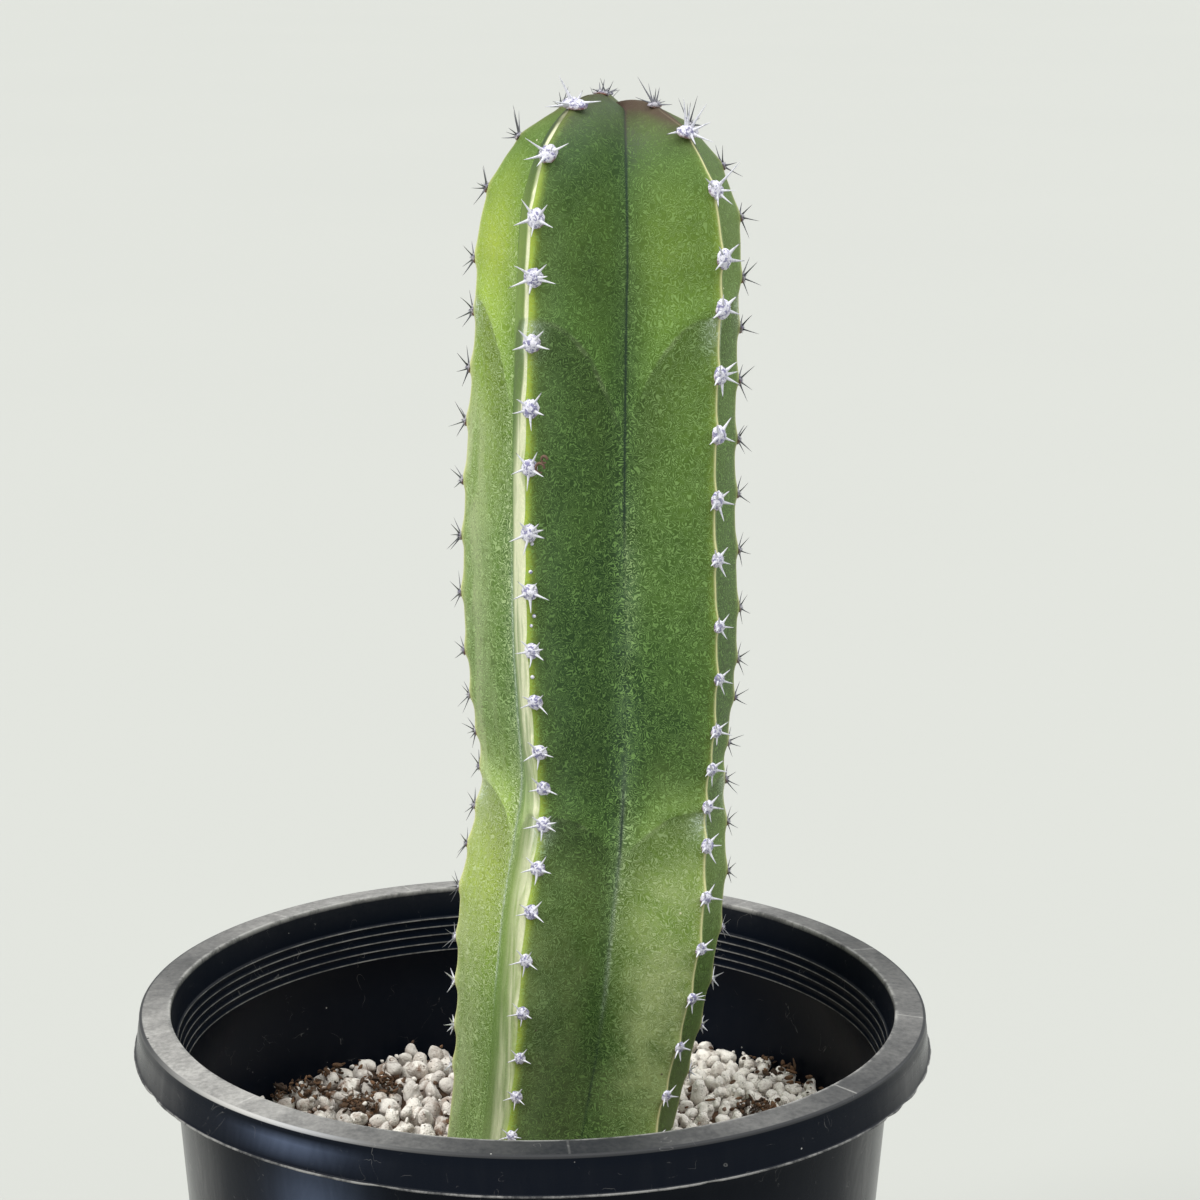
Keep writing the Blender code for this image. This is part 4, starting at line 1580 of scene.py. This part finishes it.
@dataclass
class Areoles:
    """The felt pads and spines on the stem's crests."""

    stem: Stem
    pad_height: float = 0.72
    apex_stretch: float = 1.5
    apex_count: int = 2
    strand_count: int = 36
    strand_length: float = 0.0009
    strand_width: float = 0.00009
    spine_angles: Row = (38.0, -42.0, 108.0, -106.0, 180.0, 76.0, -72.0, 4.0)
    spine_reach: float = 1.52
    apex_reach: float = 3.1
    spine_radius: float = 0.235
    spine_sides: int = 8
    spine_rings: Rows = (
        (0.0, 1.2), (0.11, 1.0), (0.28, 0.70), (0.53, 0.47), (0.80, 0.27), (0.95, 0.11),
    )
    # Painted shade: how grey each rib's spines are drawn, high on the ribs whose spines stand against the
    # light.
    ashen: Row = (0.90, 0.06, 0.10, 0.90, 0.75)
    pad_shares: Row = (0.58, 1.0, 1.0, 0.58, 0.85)
    tip_share: float = 0.6
    known_tips: dict[tuple[int, int], Rows] = field(default_factory=lambda: {
        (1, 0): (
            (1.3, -1.0, 5.4), (-2.8, -1.5, 1.6), (5.6, -1.5, 1.2), (2.8, -1.0, 2.6), (-0.6, 2.0, 4.0),
        ),
        (1, 1): (
            (-8.1, -3.0, -1.2), (-4.8, -1.0, 9.2), (7.7, -3.0, 0.8), (-6.0, -4.0, 1.2), (2.2, -1.0, 4.4),
        ),
        (1, 2): (
            (-6.4, -3.0, 4.8), (6.0, -4.0, 3.3), (-6.8, -2.5, -2.0), (-3.2, -3.5, -3.6), (1.2, -4.0, 3.0),
        ),
        (2, 0): (
            (-5.1, 0.0, 8.3), (1.8, -1.0, 6.3), (5.5, -2.0, 0.4), (-6.5, -2.0, 2.2), (-0.5, 1.0, 3.5),
        ),
        (2, 1): (
            (-1.3, -1.0, 10.7), (0.6, -2.0, 9.2), (6.0, -1.0, 9.4), (-7.2, -3.0, -1.2), (7.0, -3.0, -3.0),
            (6.4, -2.0, 3.6), (1.8, -4.0, -4.2),
        ),
        (2, 2): (
            (7.6, -3.0, 8.7), (-3.4, -4.0, 3.8), (5.9, -3.0, 0.2), (4.5, -3.0, -3.8), (0.6, -4.0, -4.4),
        ),
    })
    curl_dark: Colour = (0.070, 0.042, 0.030)
    curl_pale: Colour = (0.230, 0.135, 0.095)
    curl_areole: tuple[int, float] = (1, 0.182)
    curls: Rows = ((0.0, 0.0013), (0.0026, 0.0009))
    curl_steps: int = 18
    curl_sides: int = 6
    curl_turn: float = 5.2
    curl_radius: float = 0.00042
    bead_radii: tuple[float, float] = (0.00045, 0.00065)
    bead_levels: Row = (0.1585, 0.1500, 0.1365, 0.1335, 0.1175)
    seed: int = 21

    def build(self) -> list[Thing]:
        """Build the felt, the spines and the dry curls.

        Returns:
            The pieces.
        """
        draws = Random(self.seed)
        felt, spines, litter = Draft(), Draft(), Draft()
        directions, faces = ball(3)
        for areole in self.stem.areoles:
            self.add_pad(felt, areole, directions, faces, draws)
            self.add_spines(spines, areole, draws)
        for level in self.bead_levels:
            self.add_bead(felt, level, draws)
        self.add_curl(litter, draws)
        return [
            felt.piece("areole_felt", FeltFinish().material()),
            spines.piece("spines", SpineFinish().material()),
            litter.piece("dry_curls", BarkFinish(self.curl_dark, self.curl_pale).material("dry_skin")),
        ]

    @staticmethod
    def placed(areole: Areole, rows: Array) -> Array:
        """Turn points given across, along and out of an areole into places on the stem."""
        axes = np.array([areole.across, areole.along, areole.outward])
        return np.asarray(rows) @ axes + np.array(areole.place)

    def share(self, areole: Areole) -> float:
        """Give how large an areole's pad is beside the usual one."""
        return self.pad_shares[areole.rib] * (self.tip_share if areole.rank == 0 else 1.0)

    def add_pad(self, draft: Draft, areole: Areole, directions: Array, faces: list, draws: Random) -> None:
        """Add a woolly pad with loose strands.

        Args:
            draft: What it is added to.
            areole: Where it sits.
            directions: The points of a divided ball.
            faces: Its faces.
            draws: The random draws.
        """
        young = areole.rank < self.apex_count
        size = areole.size * self.share(areole)
        wide = size * (self.apex_stretch if young else draws.uniform(0.94, 1.06))
        long = size * (0.85 if young else draws.uniform(0.95, 1.12))
        high = size * self.pad_height
        # The apex areole and the small pads of the outline ribs are greyed; on the outline ribs this is
        # painted shade, as they stand against the light.
        slight = self.pad_shares[areole.rib] < 0.7 and areole.level > 0.02
        ashen = 0.55 if areole.rank == 0 or slight else 0.0
        seed = draws.uniform(0.0, 90.0)
        rows = []
        for way in directions:
            lump = 1.0 + 0.16 * lumps(way, 0.5, seed) + 0.13 * lumps(way, 0.22, seed + 3.0)
            flat = 0.35 if way[2] < 0 else 1.0
            rows.append((way[0] * wide * lump, way[1] * long * lump, way[2] * high * lump * flat))
        # The pad's lower rim is rusted brown: a real scale that also stands for the shade under the pad.
        low = np.clip(0.9 - directions[:, 2] * 2.4, 0.0, 1.0)
        rust = low * np.clip(0.45 - directions[:, 1], 0.0, 1.0)
        draft.add(self.placed(areole, np.array(rows)), faces, rust=rust, ashen=ashen)
        for _ in range(self.strand_count):
            angle, lean = draws.uniform(-pi, pi), draws.uniform(0.0, 1.3)
            way = np.array((sin(lean) * cos(angle), sin(lean) * sin(angle), cos(lean)))
            foot = way * np.array((wide, long, high)) * 0.93
            side = np.cross(way, (draws.uniform(-1, 1), draws.uniform(-1, 1), 0.3))
            side *= self.strand_width / np.linalg.norm(side)
            other = np.cross(way, side)
            swerve = side * draws.uniform(-3.0, 3.0) + other * draws.uniform(-3.0, 3.0)
            tip = foot + way * self.strand_length * draws.uniform(0.4, 1.0) + swerve
            rows = (foot + side, foot - side * 0.5 + other, foot - side * 0.5 - other, tip)
            strand = ((0, 1, 3), (1, 2, 3), (2, 0, 3), (0, 2, 1))
            draft.add(self.placed(areole, np.array(rows)), strand, rust=0.0, ashen=ashen)

    def add_bead(self, draft: Draft, level: float, draws: Random) -> None:
        """Add one of the small white beads below the areoles of the front rib.

        Args:
            draft: What it is added to.
            level: Its level.
            draws: The random draws.
        """
        directions, faces = ball(2)
        crest = self.stem.areole(1, 99, level)
        aside = crest.across * draws.uniform(-0.0008, 0.0010)
        place = np.array(crest.place - crest.outward * 0.0010 + aside)
        draft.add(directions * draws.uniform(*self.bead_radii) + place, faces, rust=0.0, ashen=0.0)

    def add_curl(self, draft: Draft, draws: Random) -> None:
        """Add the dry brown curls beside one areole.

        Args:
            draft: What they are added to.
            draws: The random draws.
        """
        rib, level = self.curl_areole
        near = min((a for a in self.stem.areoles if a.rib == rib), key=lambda a: abs(a.level - level))
        steps, sides = self.curl_steps, self.curl_sides
        for start, size in self.curls:
            middle = np.array((near.size + 0.0008 + 0.5 * start, 0.0004 + start, 0.0012))
            rows = []
            for step in range(steps + 1):
                turn = self.curl_turn * step / steps + draws.uniform(-0.05, 0.05)
                spoke = np.array((cos(turn), 1.15 * sin(turn), 0.25 * sin(turn)))
                thick = self.curl_radius * (1.0 - 0.5 * (step / steps) ** 2)
                for corner in range(sides):
                    twist = 2 * pi * corner / sides
                    offset = spoke * cos(twist) + np.array((0.0, 0.0, 1.6)) * sin(twist)
                    rows.append(middle + spoke * size + offset * thick)
            draft.add(self.placed(near, np.array(rows)), tube(steps + 1, sides), rust=0.55)

    def add_spines(self, draft: Draft, areole: Areole, draws: Random) -> None:
        """Add an areole's spines, spread like a star and rising where it is young.

        Args:
            draft: What they are added to.
            areole: Where they grow.
            draws: The random draws.
        """
        young = areole.rank < self.apex_count
        count = draws.choice((7, 8)) if young else draws.choice((4, 5, 5, 5, 6))
        # Painted shade: spines that stand against the light above the rim are drawn grey, and the apex
        # areole's as well.
        shade = self.ashen[areole.rib] * step_up(areole.level, 0.0, 0.03)
        ashen = 0.85 if areole.rank == 0 else min(1.0, max(0.0, shade + draws.uniform(-0.05, 0.15)))
        known = self.known_tips.get((areole.rib, areole.rank), ())
        for tip in known:
            aim = Vector(tip) * MM
            local = np.array((aim.dot(areole.across), aim.dot(areole.along), aim.dot(areole.outward)))
            length = float(np.linalg.norm(local))
            slim = 0.6 if areole.rank == 0 else 1.0
            stout = areole.size * self.spine_radius * draws.uniform(0.8, 1.0) * slim
            bend = random_bend(draws, -1.0, 1.0) * 0.05 * length
            shape = (local / length, length - 0.4 * areole.size, stout, bend)
            self.add_spine(draft, areole, shape, ashen, draws.random() < 0.3)
        for angle in () if known else self.spine_angles[:count]:
            bearing = radians(angle + draws.uniform(-10.0, 10.0))
            if young and abs(angle) < 60.0:
                rises, reach, shares, beyond = (30.0, 62.0), self.apex_reach, (0.75, 1.15), 0.0
            elif young:
                rises, reach, shares, beyond = (12.0, 40.0), self.spine_reach, (0.9, 1.5), 0.0
            else:
                rises, reach, shares, beyond = (10.0, 34.0), self.spine_reach, (0.75, 1.20), 0.0009
            rise = radians(draws.uniform(*rises))
            length = areole.size * reach * draws.uniform(*shares) + beyond
            if areole.rank == 0:
                length *= 0.7
            way = np.array((sin(bearing) * cos(rise), cos(bearing) * cos(rise), sin(rise)))
            stout = areole.size * self.spine_radius * draws.uniform(0.85, 1.15)
            if shade > 0.5:
                stout, length = 0.48 * stout, (0.9 if young else 1.2) * length
            bend = random_bend(draws, -0.3, 1.0) * 0.09 * length
            self.add_spine(draft, areole, (way, length, stout, bend), ashen, draws.random() < 0.3)

    def add_spine(
        self,
        draft: Draft,
        areole: Areole,
        shape: tuple[Array, float, float, Array],
        ashen: float,
        charred: bool,
    ) -> None:
        """Add a spine.

        Args:
            draft: What it is added to.
            areole: Where it grows.
            shape: Its direction across, along and out of the areole, its length, its radius at the foot,
                and how far its tip is bent aside.
            ashen: How grey it is, from 0 to 1, as painted shade for a spine that stands against the light.
            charred: Whether its tip is dark.
        """
        way, length, stout, bend = shape
        size = areole.size * self.share(areole)
        foot = way * np.array((1.0, 1.0, 0.0)) * size * 0.5
        foot = foot + np.array((0.0, 0.0, 0.4 * size * self.pad_height))
        side = np.cross(way, (0.0, 0.0, 1.0))
        side = side / max(np.linalg.norm(side), TINY)
        other = np.cross(side, way)
        rows, tips = [], []
        for part, width in self.spine_rings:
            middle = foot + way * length * part + bend * part**2
            for corner in range(self.spine_sides):
                turn = 2 * pi * corner / self.spine_sides
                rows.append(middle + (side * cos(turn) + other * sin(turn)) * stout * width)
                tips.append(part)
        rows.append(foot + way * length + bend)
        tips.append(1.0)
        faces = tube(len(self.spine_rings), self.spine_sides, True)
        dark = step_up(np.array(tips), 0.78, 0.97) * (1.0 if charred else 0.0)
        draft.add(self.placed(areole, np.array(rows)), faces, ashen=ashen, charred=dark)


@dataclass
class Filling:
    """What fills the pot: potting mix, and a dressing of pumice with bits of bark on it."""

    pot: Pot
    stem: Stem
    slope: float = 0.0375
    mix_depth: float = 0.0585
    mix_roughness: float = 0.0014
    mix_sides: int = 220
    mix_rows: int = 40
    gap: float = 0.0003
    dressing_depth: float = 0.0505
    grain_radii: tuple[float, float, float] = (0.0026, 0.0049, 0.0038)
    right_share: float = 0.74
    grain_tries: int = 26
    grain_limit: int = 1500
    back_bearing: float = 113.0
    wall_clear: float = 0.92
    stem_clear: float = 0.85
    overlap: float = 0.9
    sunk: float = 0.45
    heaped_share: float = 0.8
    highest: float = 0.0012
    seed: int = 5
    bark_heaps: Rows = (
        (-0.078, 0.072, 0.012), (-0.083, 0.058, 0.009), (0.089, 0.068, 0.009), (0.101, 0.052, 0.008),
        (-0.052, 0.064, 0.004), (0.074, 0.028, 0.005), (-0.060, 0.046, 0.004), (-0.030, -0.080, 0.010),
        (0.060, -0.075, 0.010), (0.010, 0.085, 0.009),
    )
    chip_count: int = 1700
    crumb_count: int = 800
    fibre_count: int = 34
    fibre_rings: int = 9
    fibre_pitch: float = 0.0008
    fibre_radius: float = 0.0002
    cell: float = 0.01
    patience: int = 60
    cells: dict[tuple[int, int], list[Grain]] = field(default_factory=dict)
    ring: Array = field(init=False)
    middle: Array = field(init=False)
    reach: float = field(init=False)

    def __post_init__(self) -> None:
        """Find the stem's outline, its middle and the reach of the pot at the dressing."""
        plain = self.stem.outline(-self.dressing_depth)[:, :2]
        ends = np.roll(plain, -1, axis=0)
        self.ring = np.concatenate([plain + (ends - plain) * part for part in (0.0, 0.25, 0.5, 0.75)])
        self.middle = np.array((self.stem.middle(-self.dressing_depth), 0.0))
        self.reach = self.inside(0.0)

    def level(self, x: float, depth: float) -> float:
        """Give the height of a sloping layer, for its depth below the rim at the axis."""
        return self.pot.height - depth + self.slope * x

    def top(self, x: float) -> float:
        """Give the height of the dressing."""
        return self.level(x, self.dressing_depth)

    def inside(self, x: float) -> float:
        """Give the radius of the pot's inside at the dressing."""
        return self.pot.wall(self.top(x))

    def ground(self, x: float, y: float) -> float:
        """Give the height of the potting mix."""
        crumb = lumps((x, y, 0.0), 0.007, 2.0) + 0.5 * lumps((x, y, 0.0), 0.003, 7.0)
        return self.level(x, self.mix_depth) + self.mix_roughness * crumb

    def build_mix(self) -> Thing:
        """Build the potting mix, with a hole for the stem's foot.

        Returns:
            The piece.
        """
        bearings = [360.0 * side / self.mix_sides for side in range(self.mix_sides)]
        ways = [towards(bearing) for bearing in bearings]
        rows: list[list[Vector]] = []
        floor = self.pot.floor() + self.gap
        for part in range(9):
            height = floor + (self.level(0.0, self.mix_depth) - 0.003 - floor) * part / 8
            radius = self.pot.wall(height) - self.gap
            rows.append([
                way * radius + lift(height + self.slope * way.x * radius * part / 8) for way in ways
            ])
        foot = self.foot_outline(-self.mix_depth, bearings)
        for part in range(self.mix_rows + 1):
            ring = []
            for way, inner in zip(ways, foot):
                edge = self.pot.wall(self.level(way.x * 0.1, self.mix_depth)) - self.gap
                place = (way * edge).lerp(inner, part / self.mix_rows)
                place.z = self.ground(place.x, place.y)
                ring.append(place)
            rows.append(ring)
        for depth in (0.066, 0.078, 0.088, 0.0925, -self.stem.base + self.gap):
            ring = self.foot_outline(-depth, bearings)
            rows.append([place + lift(self.pot.height - depth) for place in ring])
        points = [point for row in rows for point in row]
        rust = [0.35 + 0.4 * lumps(point, 0.005, 3.0) for point in points]
        draft = Draft()
        draft.add(points, tube(len(rows), self.mix_sides), rust=rust)
        return draft.piece("potting_mix_bed", BarkFinish().material("potting_mix"), Slot.MIX, "soil")

    def foot_outline(self, level: float, bearings: Sequence[float]) -> list[Vector]:
        """Give the stem's outline at a level, a little larger, at even bearings round its middle.

        Args:
            level: The level on the stem.
            bearings: Where its points are wanted.

        Returns:
            The points, with no height.
        """
        ring = self.stem.outline(level)[:, :2]
        middle = self.stem.middle(level)
        reach = ring - np.array((middle, 0.0))
        around = np.degrees(np.arctan2(reach[:, 0], -reach[:, 1]))
        order = np.argsort(around)
        radii = np.interp(bearings, around[order], np.linalg.norm(reach, axis=1)[order], period=360.0)
        return [
            Vector((middle, 0.0, 0.0)) + towards(bearing) * (radius + self.gap + 0.0006)
            for bearing, radius in zip(bearings, radii)
        ]

    def rest_height(self, x: float, y: float, radius: float) -> float:
        """Find how low a grain can lie at a place, on the mix or on the grains already there.

        Args:
            x: Where it lies.
            y: Where it lies.
            radius: Its radius.

        Returns:
            The height of its middle.
        """
        height = self.ground(x, y) + self.sunk * radius
        column, row = int(x // self.cell), int(y // self.cell)
        for i in (-1, 0, 1):
            for j in (-1, 0, 1):
                for other_x, other_y, other_z, other_radius in self.cells.get((column + i, row + j), ()):
                    reach = self.overlap * (radius + other_radius)
                    gap = reach**2 - (x - other_x) ** 2 - (y - other_y) ** 2
                    if gap > 0:
                        height = max(height, other_z + sqrt(gap))
        return height

    def keep(self, x: float, y: float, z: float, radius: float) -> None:
        """Remember a grain, so that later ones lie on it."""
        self.cells.setdefault((int(x // self.cell), int(y // self.cell)), []).append((x, y, z, radius))

    def free(self, x: float, y: float, radius: float) -> bool:
        """Tell whether a grain at a place clears the pot's wall and the stem.

        Args:
            x: Where it lies.
            y: Where it lies.
            radius: Its radius.

        Returns:
            Whether it does.
        """
        if hypot(x, y) > self.inside(x) - self.wall_clear * radius:
            return False
        place = np.array((x, y))
        away = np.linalg.norm(self.ring - place, axis=1)
        nearest = self.ring[int(np.argmin(away))] - self.middle
        outside = np.linalg.norm(place - self.middle) > np.linalg.norm(nearest)
        return bool(outside and away.min() > self.stem_clear * radius)

    def in_heap(self, x: float, y: float) -> float:
        """Tell how deep in one of the heaps of bark a place is, from 0 to 1."""
        return max(peak(hypot(x - hx, y - hy), reach) for hx, hy, reach in self.bark_heaps)

    def settle(self, draws: Random) -> list[Grain]:
        """Let the grains settle one by one, each in the lowest of a few places.

        Args:
            draws: The random draws.

        Returns:
            Middle and radius of each grain.
        """
        grains = []
        small, large, usual = self.grain_radii
        misses = 0
        while len(grains) < self.grain_limit and misses < self.patience:
            drawn = draws.triangular(small, large, usual)
            best = None
            for _ in range(self.grain_tries):
                x, y = self.anywhere(draws)
                radius = drawn * (self.right_share if x > 0.0 else 1.0)
                if not self.free(x, y, radius) or self.in_heap(x, y) > draws.uniform(0.35, 1.2):
                    continue
                z = self.rest_height(x, y, radius)
                over = z + radius - self.top(x)
                if best is None or over < best[0]:
                    best = (over, x, y, z, radius)
            if best is None or best[0] > self.highest:
                misses += 1
                continue
            misses = 0
            _, x, y, z, radius = best
            self.keep(x, y, z, radius)
            grains.append((x, y, z, radius))
        return grains

    def anywhere(self, draws: Random) -> tuple[float, float]:
        """Draw a place within the pot's square."""
        return draws.uniform(-self.reach, self.reach), draws.uniform(-self.reach, self.reach)

    def near_heap(self, draws: Random, share: float) -> tuple[float, float]:
        """Draw a place about a heap of bark, spread by a share of its reach."""
        x, y, spread = draws.choice(self.bark_heaps)
        return x + draws.gauss(0.0, spread * share), y + draws.gauss(0.0, spread * share)

    def build_pumice(self) -> list[Thing]:
        """Build the pumice grains.

        Returns:
            A piece for each third of the pot.
        """
        draws = Random(self.seed)
        grains = self.settle(draws)
        directions, faces = ball(3)
        thirds = {third: Draft() for third in ("left", "right", "back")}
        for x, y, z, radius in grains:
            bearing = degrees(atan2(x, -y))
            third = "left" if bearing < 0.0 else "right"
            if abs(bearing) > self.back_bearing:
                third = "back"
            knobbly = x > 0.0 and draws.random() < 0.5
            rows = self.grain(directions, radius, draws, knobbly) + np.array((x, y, z))
            low = self.top(x) - z
            # Browner towards the underside, the lower a grain lies, and in the bark heaps.
            stain = np.clip(0.2 - directions[:, 2] * 0.5 + low * 40.0 + 0.5 * self.in_heap(x, y), 0.0, 1.0)
            stain = stain * draws.choice((0.4, 0.6, 0.8, 1.0, 1.3))
            # Painted light: grains on the right, where light falls, are kept paler, and those on the left
            # greyer and browner, partly their own colour.
            grey = draws.uniform(0.0, 0.12) if x > 0.0 else draws.uniform(0.1, 0.75)
            stain = stain * (0.45 if x > 0.0 else 1.0)
            thirds[third].add(rows, faces, grey=grey, stain=np.clip(stain, 0.0, 1.0))
        finish = PumiceFinish().material()
        return [
            draft.piece(f"pumice_{third}", finish, Slot.PUMICE, "pumice") for third, draft in thirds.items()
        ]

    @staticmethod
    def grain(directions: Array, radius: float, draws: Random, knobbly: bool) -> Array:
        """Shape a grain: a few lobes grown together, cut by flat faces and roughened.

        Args:
            directions: The points of a divided ball.
            radius: The grain's radius.
            draws: The random draws.
            knobbly: Whether it has many small lobes.

        Returns:
            Its points round its middle.
        """
        lobes = []
        for _ in range(draws.choice((4, 5, 6, 7)) if knobbly else draws.choice((1, 2, 3, 3, 4, 5))):
            way = random_way(draws)
            if knobbly:
                out, size = draws.uniform(0.40, 0.62), draws.uniform(0.34, 0.52)
            else:
                out, size = draws.uniform(0.15, 0.5), draws.uniform(0.50, 0.82)
            lobes.append((way * out, size))
        reach = np.full(len(directions), 0.62)
        for middle, size in lobes:
            along = directions @ middle
            inside = size**2 - middle @ middle + along**2
            hit = (inside > 0.0) & (along > 0.0)
            reach = np.where(hit, np.maximum(reach, along + np.sqrt(np.maximum(inside, 0.0))), reach)
        for _ in range(draws.choice((2, 3, 4, 5, 6))):
            way = random_way(draws)
            cut = draws.uniform(0.56, 0.80) / np.maximum(directions @ way, 0.05)
            reach = -np.log(np.exp(-20.0 * reach) + np.exp(-20.0 * cut)) / 20.0
        seed = draws.uniform(0.0, 99.0)
        rough = [0.12 * lumps(way, 0.50, seed) + 0.07 * lumps(way, 0.25, seed + 5.0) for way in directions]
        reach = reach * (1.0 + np.array(rough))
        reach = reach * 0.97 / np.quantile(reach, 0.75)
        stretch = np.array((draws.uniform(1.0, 1.25), draws.uniform(0.85, 1.0), draws.uniform(0.72, 0.95)))
        return (directions * reach[:, None] * stretch * radius) @ random_turn(draws).T

    def build_bits(self) -> list[Thing]:
        """Build the chips of bark, mostly in heaps, and the crumbs between the grains.

        Returns:
            The pieces.
        """
        draws = Random(self.seed + 1)
        directions, faces = ball(2)
        chips, crumbs = Draft(), Draft()
        for count in range(self.chip_count + self.crumb_count):
            chip = count < self.chip_count
            radius = draws.uniform(0.0004, 0.0011) if chip else draws.uniform(0.0005, 0.0011)
            heaped = chip and draws.random() < self.heaped_share
            x, y = self.near_heap(draws, 0.7) if heaped else self.anywhere(draws)
            if not self.free(x, y, radius):
                continue
            z = self.rest_height(x, y, radius)
            if z > self.top(x) + 0.0015:
                continue
            long = draws.choice((1.1, 1.3, 1.5, 1.8, 2.3)) if chip else draws.uniform(1.0, 1.3)
            shape = np.array((long, draws.uniform(0.6, 1.0), draws.uniform(0.35, 0.80) if chip else 0.8))
            rows = self.grain(directions, radius * 1.1, draws, draws.random() < 0.6) * shape
            rows = rows @ random_turn(draws, 0.5 if draws.random() < 0.85 else 1.3).T + np.array((x, y, z))
            if chip:
                chips.add(rows, faces, rust=draws.choice((0.0, 0.1, 0.2, 0.3, 0.5, 0.7, 1.0)))
                self.keep(x, y, z, radius)
            else:
                crumbs.add(rows, faces, grey=draws.uniform(0.0, 0.8), stain=draws.choice((0.0, 0.3, 0.9)))
        for _ in range(self.fibre_count):
            self.add_fibre(chips, draws)
        return [
            chips.piece("bark_chips", BarkFinish().material("bark"), Slot.MIX),
            crumbs.piece("pumice_crumbs", PumiceFinish().material(), Slot.PUMICE),
        ]

    def add_fibre(self, draft: Draft, draws: Random) -> None:
        """Add a thread of peat that sticks out of a heap.

        Args:
            draft: What it is added to.
            draws: The random draws.
        """
        x, y = self.near_heap(draws, 0.6)
        place = Vector((x, y, self.top(x) - 0.001))
        way = Vector(random_bend(draws, 0.1, 0.9)).normalized()
        rows = []
        for step in range(self.fibre_rings):
            side = way.cross(lift(1.0)).normalized()
            other = way.cross(side)
            thick = self.fibre_radius - 0.000015 * step
            for corner in range(4):
                turn = pi * corner / 2
                rows.append(place + (side * cos(turn) + other * sin(turn)) * thick)
            place = place + way * self.fibre_pitch
            way = (way + Vector([draws.uniform(-0.35, 0.35) for _ in range(3)])).normalized()
        if all(hypot(row.x, row.y) < self.inside(x) - 0.002 for row in rows):
            draft.add(rows, tube(self.fibre_rings, 4), rust=draws.uniform(0.2, 0.9))


@dataclass
class Studio:
    """A pale floor, soft light and the camera that looks at the cactus from the front."""

    camera_place: Row = (0.00336, -1.0, 0.5724)
    pitch: float = 0.236
    heading: float = 0.017
    roll: float = 0.007
    focal_share: float = 3314.26 / 1200.0
    sensor: float = 36.0
    floor_radius: float = 14.0

    def build(self) -> None:
        """Set up the whole studio."""
        self.add_floor()
        self.add_camera()
        self.add_light("key", -60.0, 46.0, 36.0, 3.0, (1.0, 0.985, 0.95))
        self.add_light("fill", 118.0, 28.0, 56.0, 1.0, (0.95, 0.98, 1.0))
        self.add_light("overhead", 55.0, 68.0, 50.0, 1.9, (1.0, 1.0, 0.98))
        world = bpy.data.worlds.new("soft_daylight")
        bpy.context.scene.world = world
        world.use_nodes = True
        background = world.node_tree.nodes["Background"]
        background.inputs["Color"].default_value = (0.93, 0.97, 0.95, 1.0)
        background.inputs["Strength"].default_value = 0.52
        bpy.context.scene.view_settings.view_transform = "Standard"

    def add_floor(self) -> None:
        """Lay the floor."""
        body = bmesh.new()
        bmesh.ops.create_circle(body, cap_ends=True, segments=96, radius=self.floor_radius)
        mesh = bpy.data.meshes.new("floor")
        body.to_mesh(mesh)
        body.free()
        mesh.materials.append(FloorFinish().material())
        floor = add_thing("floor", mesh)

    def add_camera(self) -> None:
        """Place the camera."""
        ahead = Vector((
            sin(self.heading) * cos(self.pitch),
            cos(self.heading) * cos(self.pitch),
            -sin(self.pitch),
        ))
        right = Vector((cos(self.heading), -sin(self.heading), 0.0))
        up = right.cross(ahead)
        across = right * cos(self.roll) + up * sin(self.roll)
        upward = up * cos(self.roll) - right * sin(self.roll)
        data = bpy.data.cameras.new("camera")
        data.sensor_width = self.sensor
        data.lens = self.focal_share * self.sensor
        data.clip_end = 4 * self.floor_radius
        camera = add_thing("camera", data)
        turn = Matrix((across, upward, -ahead)).transposed().to_4x4()
        camera.matrix_world = Matrix.Translation(self.camera_place) @ turn
        bpy.context.scene.camera = camera

    @staticmethod
    def add_light(
        name: str, bearing: float, height: float, width: float, strength: float, colour: Colour
    ) -> None:
        """Add a wide soft light, far away.

        Args:
            name: The light's name.
            bearing: The bearing that it shines from.
            height: Its angle above the floor.
            width: The angle that it takes up.
            strength: Its strength.
            colour: Its colour.
        """
        data = bpy.data.lights.new(name, "SUN")
        data.angle = radians(width)
        data.energy = strength
        data.color = colour
        light = add_thing(name, data)
        place = towards(bearing) * cos(radians(height))
        place.z = sin(radians(height))
        light.location = place * 3.0
        light.rotation_euler = (-place).to_track_quat("-Z", "Y").to_euler()


def main() -> None:
    """Build the potted cactus and its studio, and report each piece."""
    logging.basicConfig(level=logging.INFO, format="%(name)s %(message)s")
    pot = Pot()
    stem = Stem()
    filling = Filling(pot, stem)
    builders: tuple[Callable[[], object], ...] = (
        pot.build,
        stem.build,
        Areoles(stem).build,
        filling.build_mix,
        filling.build_pumice,
        filling.build_bits,
    )
    for builder in builders:
        made = builder()
        for piece in made if isinstance(made, list) else [made]:
            mesh = piece.data
            LOG.info("%s: %d points, %d faces", piece.name, len(mesh.vertices), len(mesh.polygons))
    Studio().build()


if __name__ == "__main__":
    main()
